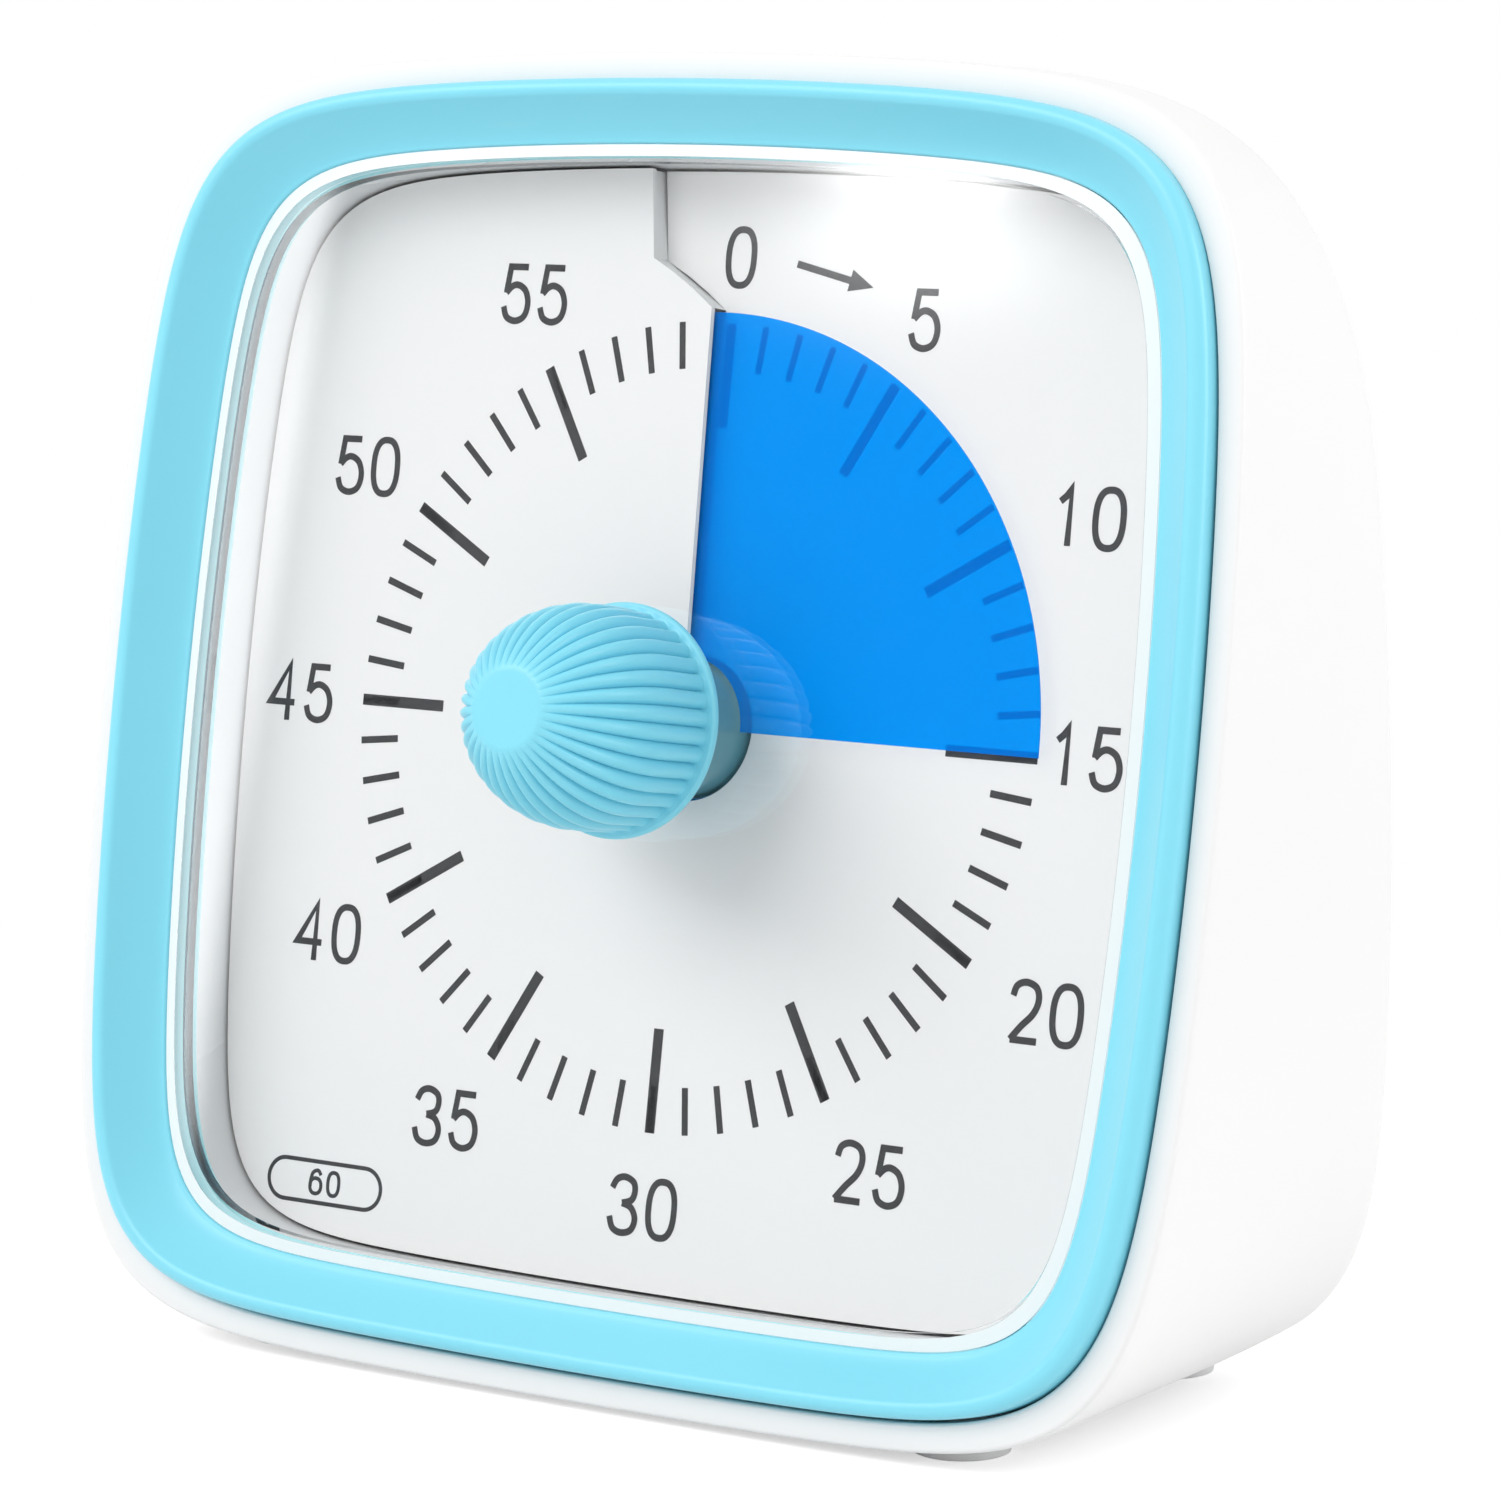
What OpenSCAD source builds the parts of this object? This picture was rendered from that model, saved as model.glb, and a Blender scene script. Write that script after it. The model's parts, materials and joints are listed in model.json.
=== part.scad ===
// Visual countdown timer: a leaning moulded housing, a spiral dial plate with a coloured
// film that winds out over it, and a front knob that sets the time.
// World frame: X right, Y back, Z up, origin on the table under the middle of the timer,
// its knob included.
// Dial frame (on_dial): x right, y up the dial, z out of the dial towards the user.
// Back frame (on_back): x right as seen from behind, y up the back wall, z out of it.

/* [Housing] */
// Width of the housing at its front lip
body_w = 139.2; // [132:0.2:146]
// Height of the housing at its front lip, measured straight up
body_h = 135.6; // [130:0.2:142]
// Depth of the base, from the front lip to the back wall
body_d = 59.6; // [55:0.2:66]
// How far the dial leans back from upright, in degrees
dial_lean = 9.4; // [7:0.1:11]
// How far the back wall leans forward from upright, in degrees
back_lean = 4.6; // [3:0.1:6]
// Wall thickness of the housing
wall = 2.4; // [2:0.1:2.7]
// How much narrower each side is at the back
side_draw = 3.6; // [2:0.1:5]
// How much lower the roof is at the back
roof_draw = 13.5; // [10:0.1:15]
// Radius of the edge round the back wall
back_edge_r = 7; // [5:0.5:8]
// Squareness of the front outline, 2 is an ellipse
body_square = 7.3; // [6.5:0.1:8]
// How far each side bows in towards its corners, as a share of the half width
side_bow = 0.057; // [0.04:0.001:0.07]
// How far the roof bows down towards its corners, as a share of the half height
roof_bow = 0.05; // [0.035:0.001:0.06]
// How far the base bows up towards its corners, as a share of the half height
base_bow = 0.016; // [0:0.001:0.025]

/* [Front] */
// Width of the bezel at its sides
band_side = 7.1; // [6.2:0.1:8]
// Width of the bezel at its top and bottom
band_top = 6.2; // [5.6:0.1:7]
// How far the dial lies behind the housing's front lip
dial_sink = 13.3; // [12.5:0.1:14.5]
// How far the bezel's rounded lip stands out of the housing's front lip
bezel_proud = 2.3; // [1.5:0.1:3.5]
// Drop from the bezel's lip down to the window's edge
bezel_dish = 4.3; // [3.6:0.1:4.9]
// Thickness of the clear lens
lens_t = 1.6; // [1.2:0.1:1.8]
// How far the lens flange runs under the bezel
lens_lap = 2.7; // [2:0.1:3]

/* [Dial] */
// Outer radius of the minute marks
scale_r = 42; // [38:0.5:46]
// How far the coloured film reaches past the minute marks
film_over = 1; // [0:0.1:2]
// Rise of the dial plate over one turn
pitch = 2.6; // [2.3:0.1:3]
// Thickness of the dial plate
plate_t = 0.6; // [0.5:0.05:0.7]
// Thickness of the coloured film
film_t = 0.2; // [0.15:0.05:0.25]
// Minutes shown at rest
rest_minutes = 15; // [0:1:59]
// Thickness of the dial frame's walls
frame_t = 2; // [1.6:0.1:2.2]

/* [Knob] */
// Diameter of the knob's rim
knob_d = 24.1; // [22:0.1:26.5]
// Height of the knob's front face above the dial
knob_front = 33.2; // [30:0.1:36]
// Height of the knob's rim above the dial
knob_back = 13.6; // [13:0.1:15]
// Radius of the flat face on the knob
knob_flat_r = 4.2; // [3.5:0.1:5]
// Number of ribs round the knob
rib_count = 36; // [24:2:48]
// Depth of the grooves between the ribs
rib_depth = 0.55; // [0.3:0.05:0.7]
// Radius of the neck that carries the knob
neck_r = 7; // [6:0.1:7.7]
// Radius of the steel arbor
arbor_r = 2.5; // [2.2:0.1:3]

/* [Movement] */
// Depth of the movement case
case_d = 11.6; // [10.6:0.1:12.6]
// Module of the wheels
gear_module = 0.5; // [0.45:0.01:0.55]
// Teeth of the centre wheel
centre_teeth = 50; // [46:2:52]
// Teeth of each pinion
pinion_teeth = 10; // [10:1:12]
// Teeth of the idler wheel
idler_teeth = 40; // [36:2:40]

/* [Battery] */
// Diameter of the AA cell
cell_d = 14.3; // [13.5:0.1:14.5]
// Length of the AA cell without its nub
cell_l = 49.2; // [48.5:0.1:49.5]
// How far the battery door covers the wall round the cell's box
door_lap = 3; // [2.5:0.1:4]
// Thickness of the battery door
door_t = 1.8; // [1.6:0.1:2]
// Travel of the battery door before it lifts off
door_travel = 6; // [5:0.5:7]

/* [Sound] */
// Diameter of the speaker
speaker_d = 24; // [22:0.5:26]
// Width of one sound slot
slot_w = 1.6; // [1.2:0.1:2]
// Travel of the volume slider each way from the middle
slider_travel = 2.5; // [2:0.1:3]

/* [Hidden] */

$fn = 48;
outline_n = 64;                 // points round every loft
corner_pull = 8;                // degrees by which they draw towards its corners
spiral_n = 72;                  // steps round the dial plate and the film
face_gap = 0.05;                // between flat faces that meet
slip = 0.03;                    // radial, between a shaft and what is fixed on it
running = 0.05;                 // radial, between a shaft and its bearing
clear = 0.3;                    // between pieces that pass each other
through = 1;                    // how far a cut runs past the face that it opens

// Base and feet
foot_r = 5;
foot_t = 1;
foot_pad_r = foot_r + 1;
foot_pad_top = foot_t + 3;
foot_in = [27.6, 9.8];          // the feet's middles, in from the side and the ends
foot_x = body_w / 2 - foot_in[0];
foot_y = body_d / 2 - foot_in[1];
base_z = foot_t - 0.2;
tan_front = tan(dial_lean);
tan_back = -tan(back_lean);

// Bezel and window, across and up the dial
bezel_square = body_square + 0.25;
window_square = bezel_square + 1.5;
bezel_clear = 0.6;
bezel_w = body_w - 2 * (wall + bezel_clear);
bezel_h = (body_h - 2 * wall) / cos(dial_lean) - 2 * bezel_clear;
window_w = bezel_w - 2 * band_side;
window_h = bezel_h - 2 * band_top;
window_y = -0.3;                // the window's middle, a little below the dial's

// Heights over the dial, from the bezel down to the back of the frame
bezel_front = dial_sink + bezel_proud;
window_front = bezel_front - bezel_dish;
window_top = window_front - 0.9;
flange_top = window_top - 0.8;
flange_bottom = flange_top - 1.5;
rim_top = flange_bottom;
rim_t = 1.6;
seat_z = dial_sink - 1.6;
skirt_bottom = seat_z - 5.2;
skirt_t = 1.7;
flange_room = 0.7;              // between the lens flange and the bezel's skirt
recess_inset = 1.1;
plate_clear = 0.35;
frame_draft = 0.6;              // how much the frame narrows to its back
film_r = scale_r + film_over;
film_gap = pitch - plate_t - film_t - clear;
frame_floor = film_gap - pitch - 0.7;
frame_back = frame_floor - frame_t;

// Cut in the dial plate: its angle past 12 o'clock near the scale and at the wall
cut_in = 1.2;
cut_out = 10.3;
cut_r1 = film_r + 0.4;
cut_r2 = cut_r1 + 5.7;
film_turns = 0.98;
rest_drop = 0.15;               // below the plate, to the posts that carry it
rest_w = 4;
rest_l = 5;

// Knob and shaft line
knob_rim = 0.55;                // how far the rim stands out past the ribs
knob_rim_t = 1;
knob_r = knob_d / 2 - knob_rim;
dome_z = knob_back + 6.4;
dome_steps = 7;
dome_end = 80;                  // angle of the dome's last ring
knob_dome_h = (knob_front - dome_z) / sqrt(1 - pow(knob_flat_r / knob_r, 2));
stem_bottom = frame_floor + 0.25;
stem_hole_r = neck_r + 0.6;
spigot_r = neck_r - 2.5;
spigot_top = knob_front - 7.2;
arbor_top = 8;

// Where the dial stands: its centre up from the table and back from the front lip
dial_z = base_z + body_h / 2 - seat_z * sin(dial_lean) - window_y * cos(dial_lean);
dial_in = dial_z * tan_front + dial_sink / cos(dial_lean);
knob_reach = knob_front * cos(dial_lean) + knob_flat_r * sin(dial_lean);
back_drop = (base_z + back_edge_r) * tan(back_lean);
body_y = (knob_reach - dial_in + back_drop) / 2;
front_y = body_y - body_d / 2;
back_y = body_y + body_d / 2;
dial_y = front_y + dial_in;

// Gear train, seen along the dial's axis
case_front = frame_back - face_gap;
wheel_t = 1.2;
train_step = 1.6;               // between the centre wheel and the idler wheel
centre_z = case_front - 5.4;
idler_z = centre_z - wheel_t - train_step;
pinion_len = 2.6;
pinion_past = 1.2;              // idler pinion past the middle of the centre wheel
centre_r = centre_teeth * gear_module / 2;
pinion_r = pinion_teeth * gear_module / 2;
idler_r = idler_teeth * gear_module / 2;
wheel_share = 0.44;
pinion_share = 0.36;
wheel_tip = gear_module * 0.8;
wheel_root = gear_module * 1.25;
pinion_tip = gear_module * 0.62;
pinion_root = gear_module * 1.2;
idler_a = 200;
motor_a = 250;
idler_x = (centre_r + pinion_r) * cos(idler_a);
idler_y = (centre_r + pinion_r) * sin(idler_a);
motor_x = idler_x + (idler_r + pinion_r) * cos(motor_a);
motor_y = idler_y + (idler_r + pinion_r) * sin(motor_a);
motor_r = 7;
motor_boss_r = 2.6;
idler_pin_r = 0.8;
wheel_seat_r = arbor_r - 0.4;   // the arbor's step that carries the centre wheel
pivot_r = arbor_r - 1.3;

// Clutch behind the centre wheel
leaf_t = 0.35;
leaf_l = 6;
leaf_w = 2.4;
leaf_hub_r = arbor_r + 0.9;
dimple_r = 0.8;
dimple_h = 0.8;
collar_r = arbor_r + 0.6;
shoulder_h = 1.6;               // the arbor's flange, above the middle of the wheel
seat_end = 3.4;                 // the wheel seat, below the middle of the wheel

// Movement case round the train and the motor
case_wall = 1.5;
case_gap = 1.1;
case_right = centre_r + wheel_tip + case_gap + case_wall;
case_left = motor_x - motor_r - case_gap - case_wall;
case_top = centre_r + wheel_tip + case_gap + case_wall;
case_bottom = motor_y - motor_r - case_gap - case_wall;
case_back = case_front - case_d;
cover_t = 1.6;
cover_back = case_back - cover_t;
arbor_bottom = cover_back + 0.6;
hub_r = pivot_r + 2.2;
pin_seat = 0.8;                 // how deep the idler's pin sits at each end
screw_r = 1.2;
screw_bite = running;
screw_free = 0.2;
screw_post_r = 2.6;
cover_screws = [for (x = [case_left + 4, case_right - 4], y = [case_bottom + 4, case_top - 4])
    if (x > 0 || y > 0) [x, y]];
ear_r = 3.2;
ear_drop = 4;
ear_t = 2;
ear_post_r = 2.4;
ear_places = [for (x = [case_left - ear_r, case_right + ear_r],
                   y = [case_bottom + 6, case_top - 5]) [x, y]];
small_head_r = 2.2;
small_head_t = 1.2;

// Screws that hold the housing to the dial frame, in the dial frame's x and y
post_top = [15.7, 21.7];        // the upper posts, in from the window's side and top
post_low = [12.7, 14.7];        // the lower ones, in from its side and bottom
post_places = [for (side = [-1, 1])
    each [[side * (window_w / 2 - post_top[0]), window_h / 2 - post_top[1]],
          [side * (window_w / 2 - post_low[0]), post_low[1] - window_h / 2]]];
post_r = 3.6;
post_back = frame_back - 7;
boss_r = 4.4;
boss_shelf = 3;
long_screw_r = 1.45;
long_screw_l = 9;
screw_head_r = 2.7;
screw_head_t = 1.8;

// Battery box, in the back frame
box_wall = 1.6;
cell_room = 9;                  // for the spring and the contact
cell_shift = 1;
cell_nub = 1.2;
cell_nub_d = 5.2;
cell_under = 0.6;               // between the door and the cell
cell_depth = door_t + cell_under + cell_d / 2;
cavity_l = cell_l + cell_room;
cavity_h = cell_d + 1.6;
cavity_d = cell_depth + cell_d / 2 + 0.5;
door_w = cavity_l + 2 * door_lap;
door_h = cavity_h + 2 * door_lap;
tongue_l = 4;
tongue_w = 1.4;
tongue_t = 0.8;
tongue_y = door_h / 2 - 5;
groove_clear = 0.15;
cell_v = base_z + back_edge_r + door_travel + clear + door_h / 2;
plate_w = 12;
contact_t = 0.45;
spring_wire = 0.8;
spring_r0 = 5.2;
spring_r1 = 2.6;
spring_turns = 4;
spring_len = (cavity_l - cell_l) / 2 + cell_shift - face_gap - contact_t
             - 0.9 * spring_wire - face_gap;
dimple_gap = cavity_l / 2 - cell_l / 2 - cell_shift - cell_nub - face_gap;
ridge_n = 5;

// Sound and switch places, in the back frame
sound_in = [24.6, 59.6];        // the speaker's middle, in from the side and the top
sound_x = body_w / 2 - sound_in[0];
sound_v = body_h - sound_in[1];
speaker_t = 6;
speaker_ring_t = 1.6;
slot_n = 7;
slot_step = 2.9;
slot_margin = 1.5;
switch_l = 17;
switch_h = 8;
switch_t = 5;
switch_gap = 0.6;
slide_l = 4;
slide_h = 3.4;
slide_out = 0.9;
slide_ridge = 0.3;
ledge_t = 1.2;

// Circuit board above the movement
board_w = 46;
board_h = 20;
board_t = 1.6;
board_gap = 2;
board_y = case_top + 6 + board_h / 2;
board_screw_x = board_w / 2 - 3.5;
board_post_r = 2;
board_front = frame_back - board_gap - face_gap;
board_back = board_front - board_t;
chip = 7;
chip_t = 1.4;
can_r = 2.4;
can_h = 4.4;
plug_l = 6;
plug_h = 4;
plug_t = 2.4;
plug_y = board_y + board_h / 2 - plug_h;
plug_z = board_back - face_gap - plug_t / 2;
lead_r = 0.6;

function mix(a, b, f) = a + (b - a) * f;
function unit(v) = v / norm(v);

// Point in the direction t on a squared outline whose sides bow in towards its corners,
// of half width a, half height b and squareness n
function outline_at(a, b, n, t) =
    let (r = 1 / pow(pow(abs(cos(t)) / a, n) + pow(abs(sin(t)) / b, n), 1 / n),
         x = r * cos(t), y = r * sin(t))
    [x * (1 - side_bow * pow(y / b, 2)),
     y * (1 - (y > 0 ? roof_bow : base_bow) * pow(x / a, 2))];

// Point k of such an outline
function outline_point(a, b, n, k) =
    let (t = 360 * k / outline_n) outline_at(a, b, n, t + corner_pull * sin(4 * t));

// A solid skin over a list of rings, each with as many points and anticlockwise as seen
// from the side that the list runs towards; a closed list ends where it starts
module skin(rings, closed = false) {
    n = len(rings[0]);
    m = len(rings);
    last = closed ? m : m - 1;
    points = [for (ring = rings) each ring];
    sides = [for (j = [0:last - 1], k = [0:n - 1])
        let (a = j * n + k, b = j * n + (k + 1) % n,
             c = ((j + 1) % m) * n + (k + 1) % n, d = ((j + 1) % m) * n + k)
        each [[a, c, b], [a, d, c]]];
    ends = closed ? [] : [[for (k = [0:n - 1]) k], [for (k = [n - 1:-1:0]) (m - 1) * n + k]];
    polyhedron(points, concat(sides, ends));
}

module on_dial() {
    translate([0, dial_y, dial_z]) rotate([90 - dial_lean, 0, 0]) children();
}

module on_back() {
    translate([0, back_y, 0]) rotate([0, 0, 180]) rotate([90 - back_lean, 0, 0]) children();
}

// The same two frames for single points
function dial_point(p) =
    [p[0], dial_y + p[1] * sin(dial_lean) - p[2] * cos(dial_lean),
     dial_z + p[1] * cos(dial_lean) + p[2] * sin(dial_lean)];
function back_point(p) =
    [-p[0], back_y - p[1] * sin(back_lean) + p[2] * cos(back_lean),
     p[1] * cos(back_lean) + p[2] * sin(back_lean)];

// Cylinder along z from one height to another
module rod(r, z0, z1) {
    translate([0, 0, min(z0, z1)]) cylinder(r = r, h = abs(z1 - z0));
}

module block(x0, x1, y0, y1, z0, z1) {
    translate([x0, y0, z0]) cube([x1 - x0, y1 - y0, z1 - z0]);
}

module at(places) {
    for (p = places) translate([p[0], p[1], 0]) children();
}

// ---- Housing ----

// One section of the housing: s runs from 0 at the front lip to 1 at the back wall
function housing_ring(s, inset) =
    let (d = (1 - s) * (body_d - inset),
         r = back_edge_r - inset,
         e = inset + (d < r ? r - sqrt(max(0, r * r - (r - d) * (r - d))) : 0),
         a = body_w / 2 - side_draw * pow(s, 4) - e,
         h = body_h - roof_draw * pow(s, 3.2) - 2 * e,
         mid = base_z + e + h / 2,
         slope = mix(tan_front, tan_back, s),
         back = back_y - inset / cos(back_lean),
         n = body_square - 0.6 * s)
    [for (k = [0:outline_n - 1])
        let (p = outline_point(a, h / 2, n, k), z = mid + p[1])
        [p[0], mix(front_y, back, s) + z * slope, z]];

// Sections close together where the back edge turns
function housing_steps(inset) =
    let (turn = 1 - (back_edge_r - inset) / (body_d - inset))
    concat([for (i = [0:5]) turn * i / 5], [for (a = [30, 60, 90]) mix(turn, 1, sin(a))]);

// One closed skin: up the outside from the back wall to the lip and down the inside
module housing_shell() {
    outer = housing_steps(0);
    skin(concat([for (i = [len(outer) - 1:-1:0]) housing_ring(outer[i], 0)],
                [for (s = housing_steps(wall)) housing_ring(s, wall)]));
}

// Height behind the dial at which the back wall lies, at a place on the dial
function back_depth(y) =
    let (z0 = dial_z + y * cos(dial_lean), y0 = dial_y + y * sin(dial_lean))
    (back_y + z0 * tan_back - y0) / (cos(dial_lean) - sin(dial_lean) * tan_back);

module rear_housing() color("white") {
    difference() {
        union() {
            housing_shell();
            on_back() battery_box();
            on_back() speaker_ring();
            on_back() switch_ledge();
            on_dial() for (p = post_places) at([p])
                rod(boss_r, post_back - face_gap, wall / 2 - back_depth(p[1]));
            for (x = [-foot_x, foot_x], y = [-foot_y, foot_y])
                translate([x, body_y + y, foot_t])
                    cylinder(r = foot_pad_r, h = foot_pad_top - foot_t);
        }
        on_dial() at(post_places) {
            rod(long_screw_r + groove_clear, post_back + through, post_back - body_d);
            rod(screw_head_r + clear, post_back - boss_shelf, post_back - body_d);
        }
        on_back() {
            door_opening();
            sound_slots();
            switch_slot();
        }
    }
}

// Recess and opening that the battery door closes, with the grooves for its tongues
module door_opening() {
    translate([0, cell_v, 0]) {
        block(-door_w / 2 - clear, door_w / 2 + clear, -door_h / 2 - door_travel - clear,
              door_h / 2 + clear, -door_t - face_gap, 5);
        block(-cavity_l / 2, cavity_l / 2, -cavity_h / 2, cavity_h / 2, -cavity_d, 1);
        for (y = [-tongue_y, tongue_y]) door_groove(y);
        for (side = [-1, 1]) translate([side * cavity_l / 2, cell_d / 4, -cell_depth])
            rotate([0, 90, 0]) cylinder(r = 2 * lead_r, h = 3 * box_wall, center = true);
    }
}

// Groove for a pair of tongues, open to the outside where they lift out
module door_groove(y) {
    half = door_w / 2 + tongue_w + clear;
    low = y - tongue_l / 2 - door_travel - clear;
    high = y + tongue_l / 2 + clear;
    block(-half, half, low, high, -door_t - face_gap, -door_t + tongue_t + groove_clear);
    block(-half, half, low, high - door_travel, -door_t, 5);
}

// The cell's box and the thick frame round the door's recess, both filled until
// door_opening() is cut
module battery_box() {
    side = door_w / 2 + tongue_w + clear + box_wall;
    translate([0, cell_v, 0]) {
        block(-cavity_l / 2 - box_wall, cavity_l / 2 + box_wall, -cavity_h / 2 - box_wall,
              cavity_h / 2 + box_wall, -cavity_d - box_wall, -wall / 2);
        block(-side, side, -door_h / 2 - door_travel - clear, door_h / 2 + clear + box_wall,
              -door_t - face_gap - box_wall, -wall / 2);
    }
}

module speaker_ring() {
    translate([sound_x, sound_v, -wall - speaker_t + 1]) difference() {
        cylinder(d = speaker_d + 2 * speaker_ring_t, h = speaker_t - 0.4);
        translate([0, 0, -through]) cylinder(d = speaker_d + 2 * slip,
                                             h = speaker_t + 2 * through);
    }
}

module sound_slots() {
    translate([sound_x, sound_v, -wall - through]) for (i = [0:slot_n - 1]) {
        y = (i - (slot_n - 1) / 2) * slot_step;
        half = sqrt(pow(speaker_d / 2 - slot_margin, 2) - y * y) - slot_w / 2;
        depth = wall + 3 * through;
        block(-half, half, y - slot_w / 2, y + slot_w / 2, 0, depth);
        for (x = [-half, half]) translate([x, y, 0]) cylinder(d = slot_w, h = depth);
    }
}

module switch_ledge() {
    translate([-sound_x, sound_v, 0]) for (side = [-1, 1])
        translate([side * (switch_l / 2 + ledge_t + face_gap), 0, 0])
            block(-ledge_t, ledge_t, -switch_h / 2, switch_h / 2, -wall - switch_t,
                  -wall + 0.5);
}

module switch_slot() {
    half = slide_l / 2 + slider_travel + clear;
    translate([-sound_x, sound_v, -wall - through])
        block(-half, half, -slide_h / 2 - clear, slide_h / 2 + clear, 0, wall + 3 * through);
}

// ---- Front ----

// Outline between the bezel's outside at f = 0 and the window at f = 1
function bezel_ring(f, z) =
    let (a = mix(bezel_w, window_w, f) / 2, b = mix(bezel_h, window_h, f) / 2,
         n = mix(bezel_square, window_square, f))
    [for (k = [0:outline_n - 1])
        let (p = outline_point(a, b, n, k)) [p[0], p[1] + window_y, z]];

// Outline of the window, grown by out
function window_ring(out, z) =
    [for (k = [0:outline_n - 1])
        let (p = outline_point(window_w / 2 + out, window_h / 2 + out, window_square, k))
        [p[0], p[1] + window_y, z]];

// Point of the recess wall in the direction t, drawn in by inset
function recess_point(t, inset) =
    outline_at(window_w / 2 - recess_inset - inset, window_h / 2 - recess_inset - inset,
               window_square, t);

module front_bezel() color("skyblue") on_dial() {
    rim = bezel_front;
    edge = window_front;
    slope_f = 0.16;
    face = [for (i = [0:4]) let (f = slope_f + 0.78 * i / 4)
        [f, edge + (rim - 0.25 - edge) * pow(1 - (f - slope_f) / (1 - slope_f), 1.35)]];
    f_in = 1 - (lens_lap + flange_room) / min(band_side, band_top);
    f_out = f_in - skirt_t / band_side;
    profile = concat([[f_out, skirt_bottom], [f_out, seat_z], [0, seat_z], [0, rim - 1.1],
                      [0.03, rim - 0.4], [0.08, rim]], face,
                     [[1, edge - 0.25], [1, flange_top], [f_in, flange_top],
                      [f_in, skirt_bottom]]);
    skin([for (p = profile) bezel_ring(p[0], p[1])], closed = true);
}

module lens() color("azure", 0.35) on_dial() difference() {
    inner = -recess_inset - 0.7;
    skin([window_ring(inner, window_top - lens_t), window_ring(inner, flange_bottom),
          window_ring(lens_lap, flange_bottom), window_ring(lens_lap, flange_top - face_gap),
          window_ring(-clear, flange_top - face_gap), window_ring(-clear, window_top - 0.4),
          window_ring(-clear - 0.4, window_top)]);
    rod(stem_hole_r, 0, window_top + through);
}

module dial_frame() color("gainsboro") on_dial() difference() {
    out = frame_t - recess_inset;
    mid_floor = (frame_back + frame_floor) / 2;
    union() {
        skin([window_ring(out - frame_draft, frame_back), window_ring(out, rim_top - rim_t),
              window_ring(lens_lap, rim_top - rim_t), window_ring(lens_lap, rim_top),
              window_ring(-recess_inset, rim_top), window_ring(-recess_inset, frame_floor)]);
        plate_rests();
        at(post_places) rod(post_r, post_back, mid_floor);
        at(ear_places) rod(ear_post_r, frame_back - ear_drop, mid_floor);
        at(board_places()) rod(board_post_r, frame_back - board_gap, mid_floor);
    }
    rod(arbor_r + 1.2, frame_back - through, frame_floor + through);
    at(post_places) rod(long_screw_r + screw_bite, post_back - through, frame_back - 0.4);
    at(ear_places)
        rod(screw_r + screw_bite, frame_back - ear_drop - through, frame_back - 0.4);
    at(board_places())
        rod(screw_r + screw_bite, frame_back - board_gap - through, frame_back + 0.6);
}

// Posts round the wall, each as high as the plate lies there
module plate_rests() {
    for (minute = [2.5:5:57.5]) {
        t = 90 - minute * 6;
        r = norm(recess_point(t, 0));
        rotate(t) block(r - rest_l, r + 0.5, -rest_w / 2, rest_w / 2, frame_floor - 0.5,
                        (minute / 60) * pitch - plate_t - rest_drop);
    }
}

// ---- Spiral dial and film ----

// Angle of the cut, anticlockwise from 12 o'clock, at the radius r
function cut_angle(r) =
    r <= cut_r1 ? cut_in
                : r >= cut_r2 ? cut_out : mix(cut_in, cut_out, (r - cut_r1) / (cut_r2 - cut_r1));

// Sheet that climbs like a spiral stair: turns u0 to u1 clockwise from the cut, its underside
// at z0 where u = 0, with an edge at each radius; to_wall adds one just inside the recess wall
module spiral_sheet(radii, to_wall, u0, u1, z0, t) {
    m = len(radii) + (to_wall ? 1 : 0);
    n = round((u1 - u0) * spiral_n);
    function place(j, u, z) =
        let (wall_edge = j == len(radii),
             a = 90 + cut_angle(wall_edge ? cut_r2 : radii[j]) - 360 * u,
             p = wall_edge ? recess_point(a, plate_clear) + [0, window_y]
                           : radii[j] * [cos(a), sin(a)])
        [p[0], p[1], z];
    skin([for (i = [0:n]) let (u = mix(u0, u1, i / n), z = z0 + pitch * u)
        concat([for (j = [0:m - 1]) place(j, u, z)],
               [for (j = [m - 1:-1:0]) place(j, u, z + t)])]);
}

module dial_plate() color("white") on_dial()
    spiral_sheet([stem_hole_r, cut_r1, cut_r2], true, 0, 1, -plate_t, plate_t);

module time_film() color("dodgerblue") on_dial() {
    shown = rest_minutes / 60 + cut_in / 360;
    spiral_sheet([neck_r + clear, film_r], false, shown - film_turns, shown, film_gap, film_t);
}

// ---- Knob and shaft ----

// Radius of the knob's body at the height z, a tube that closes as an ellipse
function knob_radius(z) =
    z <= dome_z ? knob_r
                : knob_r * sqrt(max(0, 1 - pow((z - dome_z) / knob_dome_h, 2)));

// Ring of ribs with sharp grooves between rounded ribs
function rib_ring(z, depth) =
    [for (k = [0:4 * rib_count - 1])
        let (t = 90 * k / rib_count, r = knob_radius(z) - depth * (1 - abs(sin(45 * k))))
        [r * cos(t), r * sin(t), z]];

module knob() color("skyblue") on_dial() difference() {
    low = knob_back + knob_rim_t;
    union() {
        rod(knob_d / 2, knob_back, low);
        skin(concat([rib_ring(knob_back + knob_rim_t / 2, rib_depth)],
                    [for (i = [0:3]) rib_ring(mix(low + 0.4, dome_z, i / 3), rib_depth)],
                    [for (i = [1:dome_steps])
                        rib_ring(mix(dome_z, knob_front,
                                     sin(dome_end * i / dome_steps) / sin(dome_end)),
                                 rib_depth * (1 - pow(i / dome_steps, 4)))]));
    }
    rod(spigot_r + slip, knob_back - through, spigot_top + clear);
}

module knob_stem() color("slategray") on_dial() difference() {
    union() {
        rod(neck_r, stem_bottom, knob_back - face_gap);
        rod(spigot_r, stem_bottom, spigot_top);
    }
    rod(arbor_r + slip, stem_bottom - through, arbor_top + 0.2);
}

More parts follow.
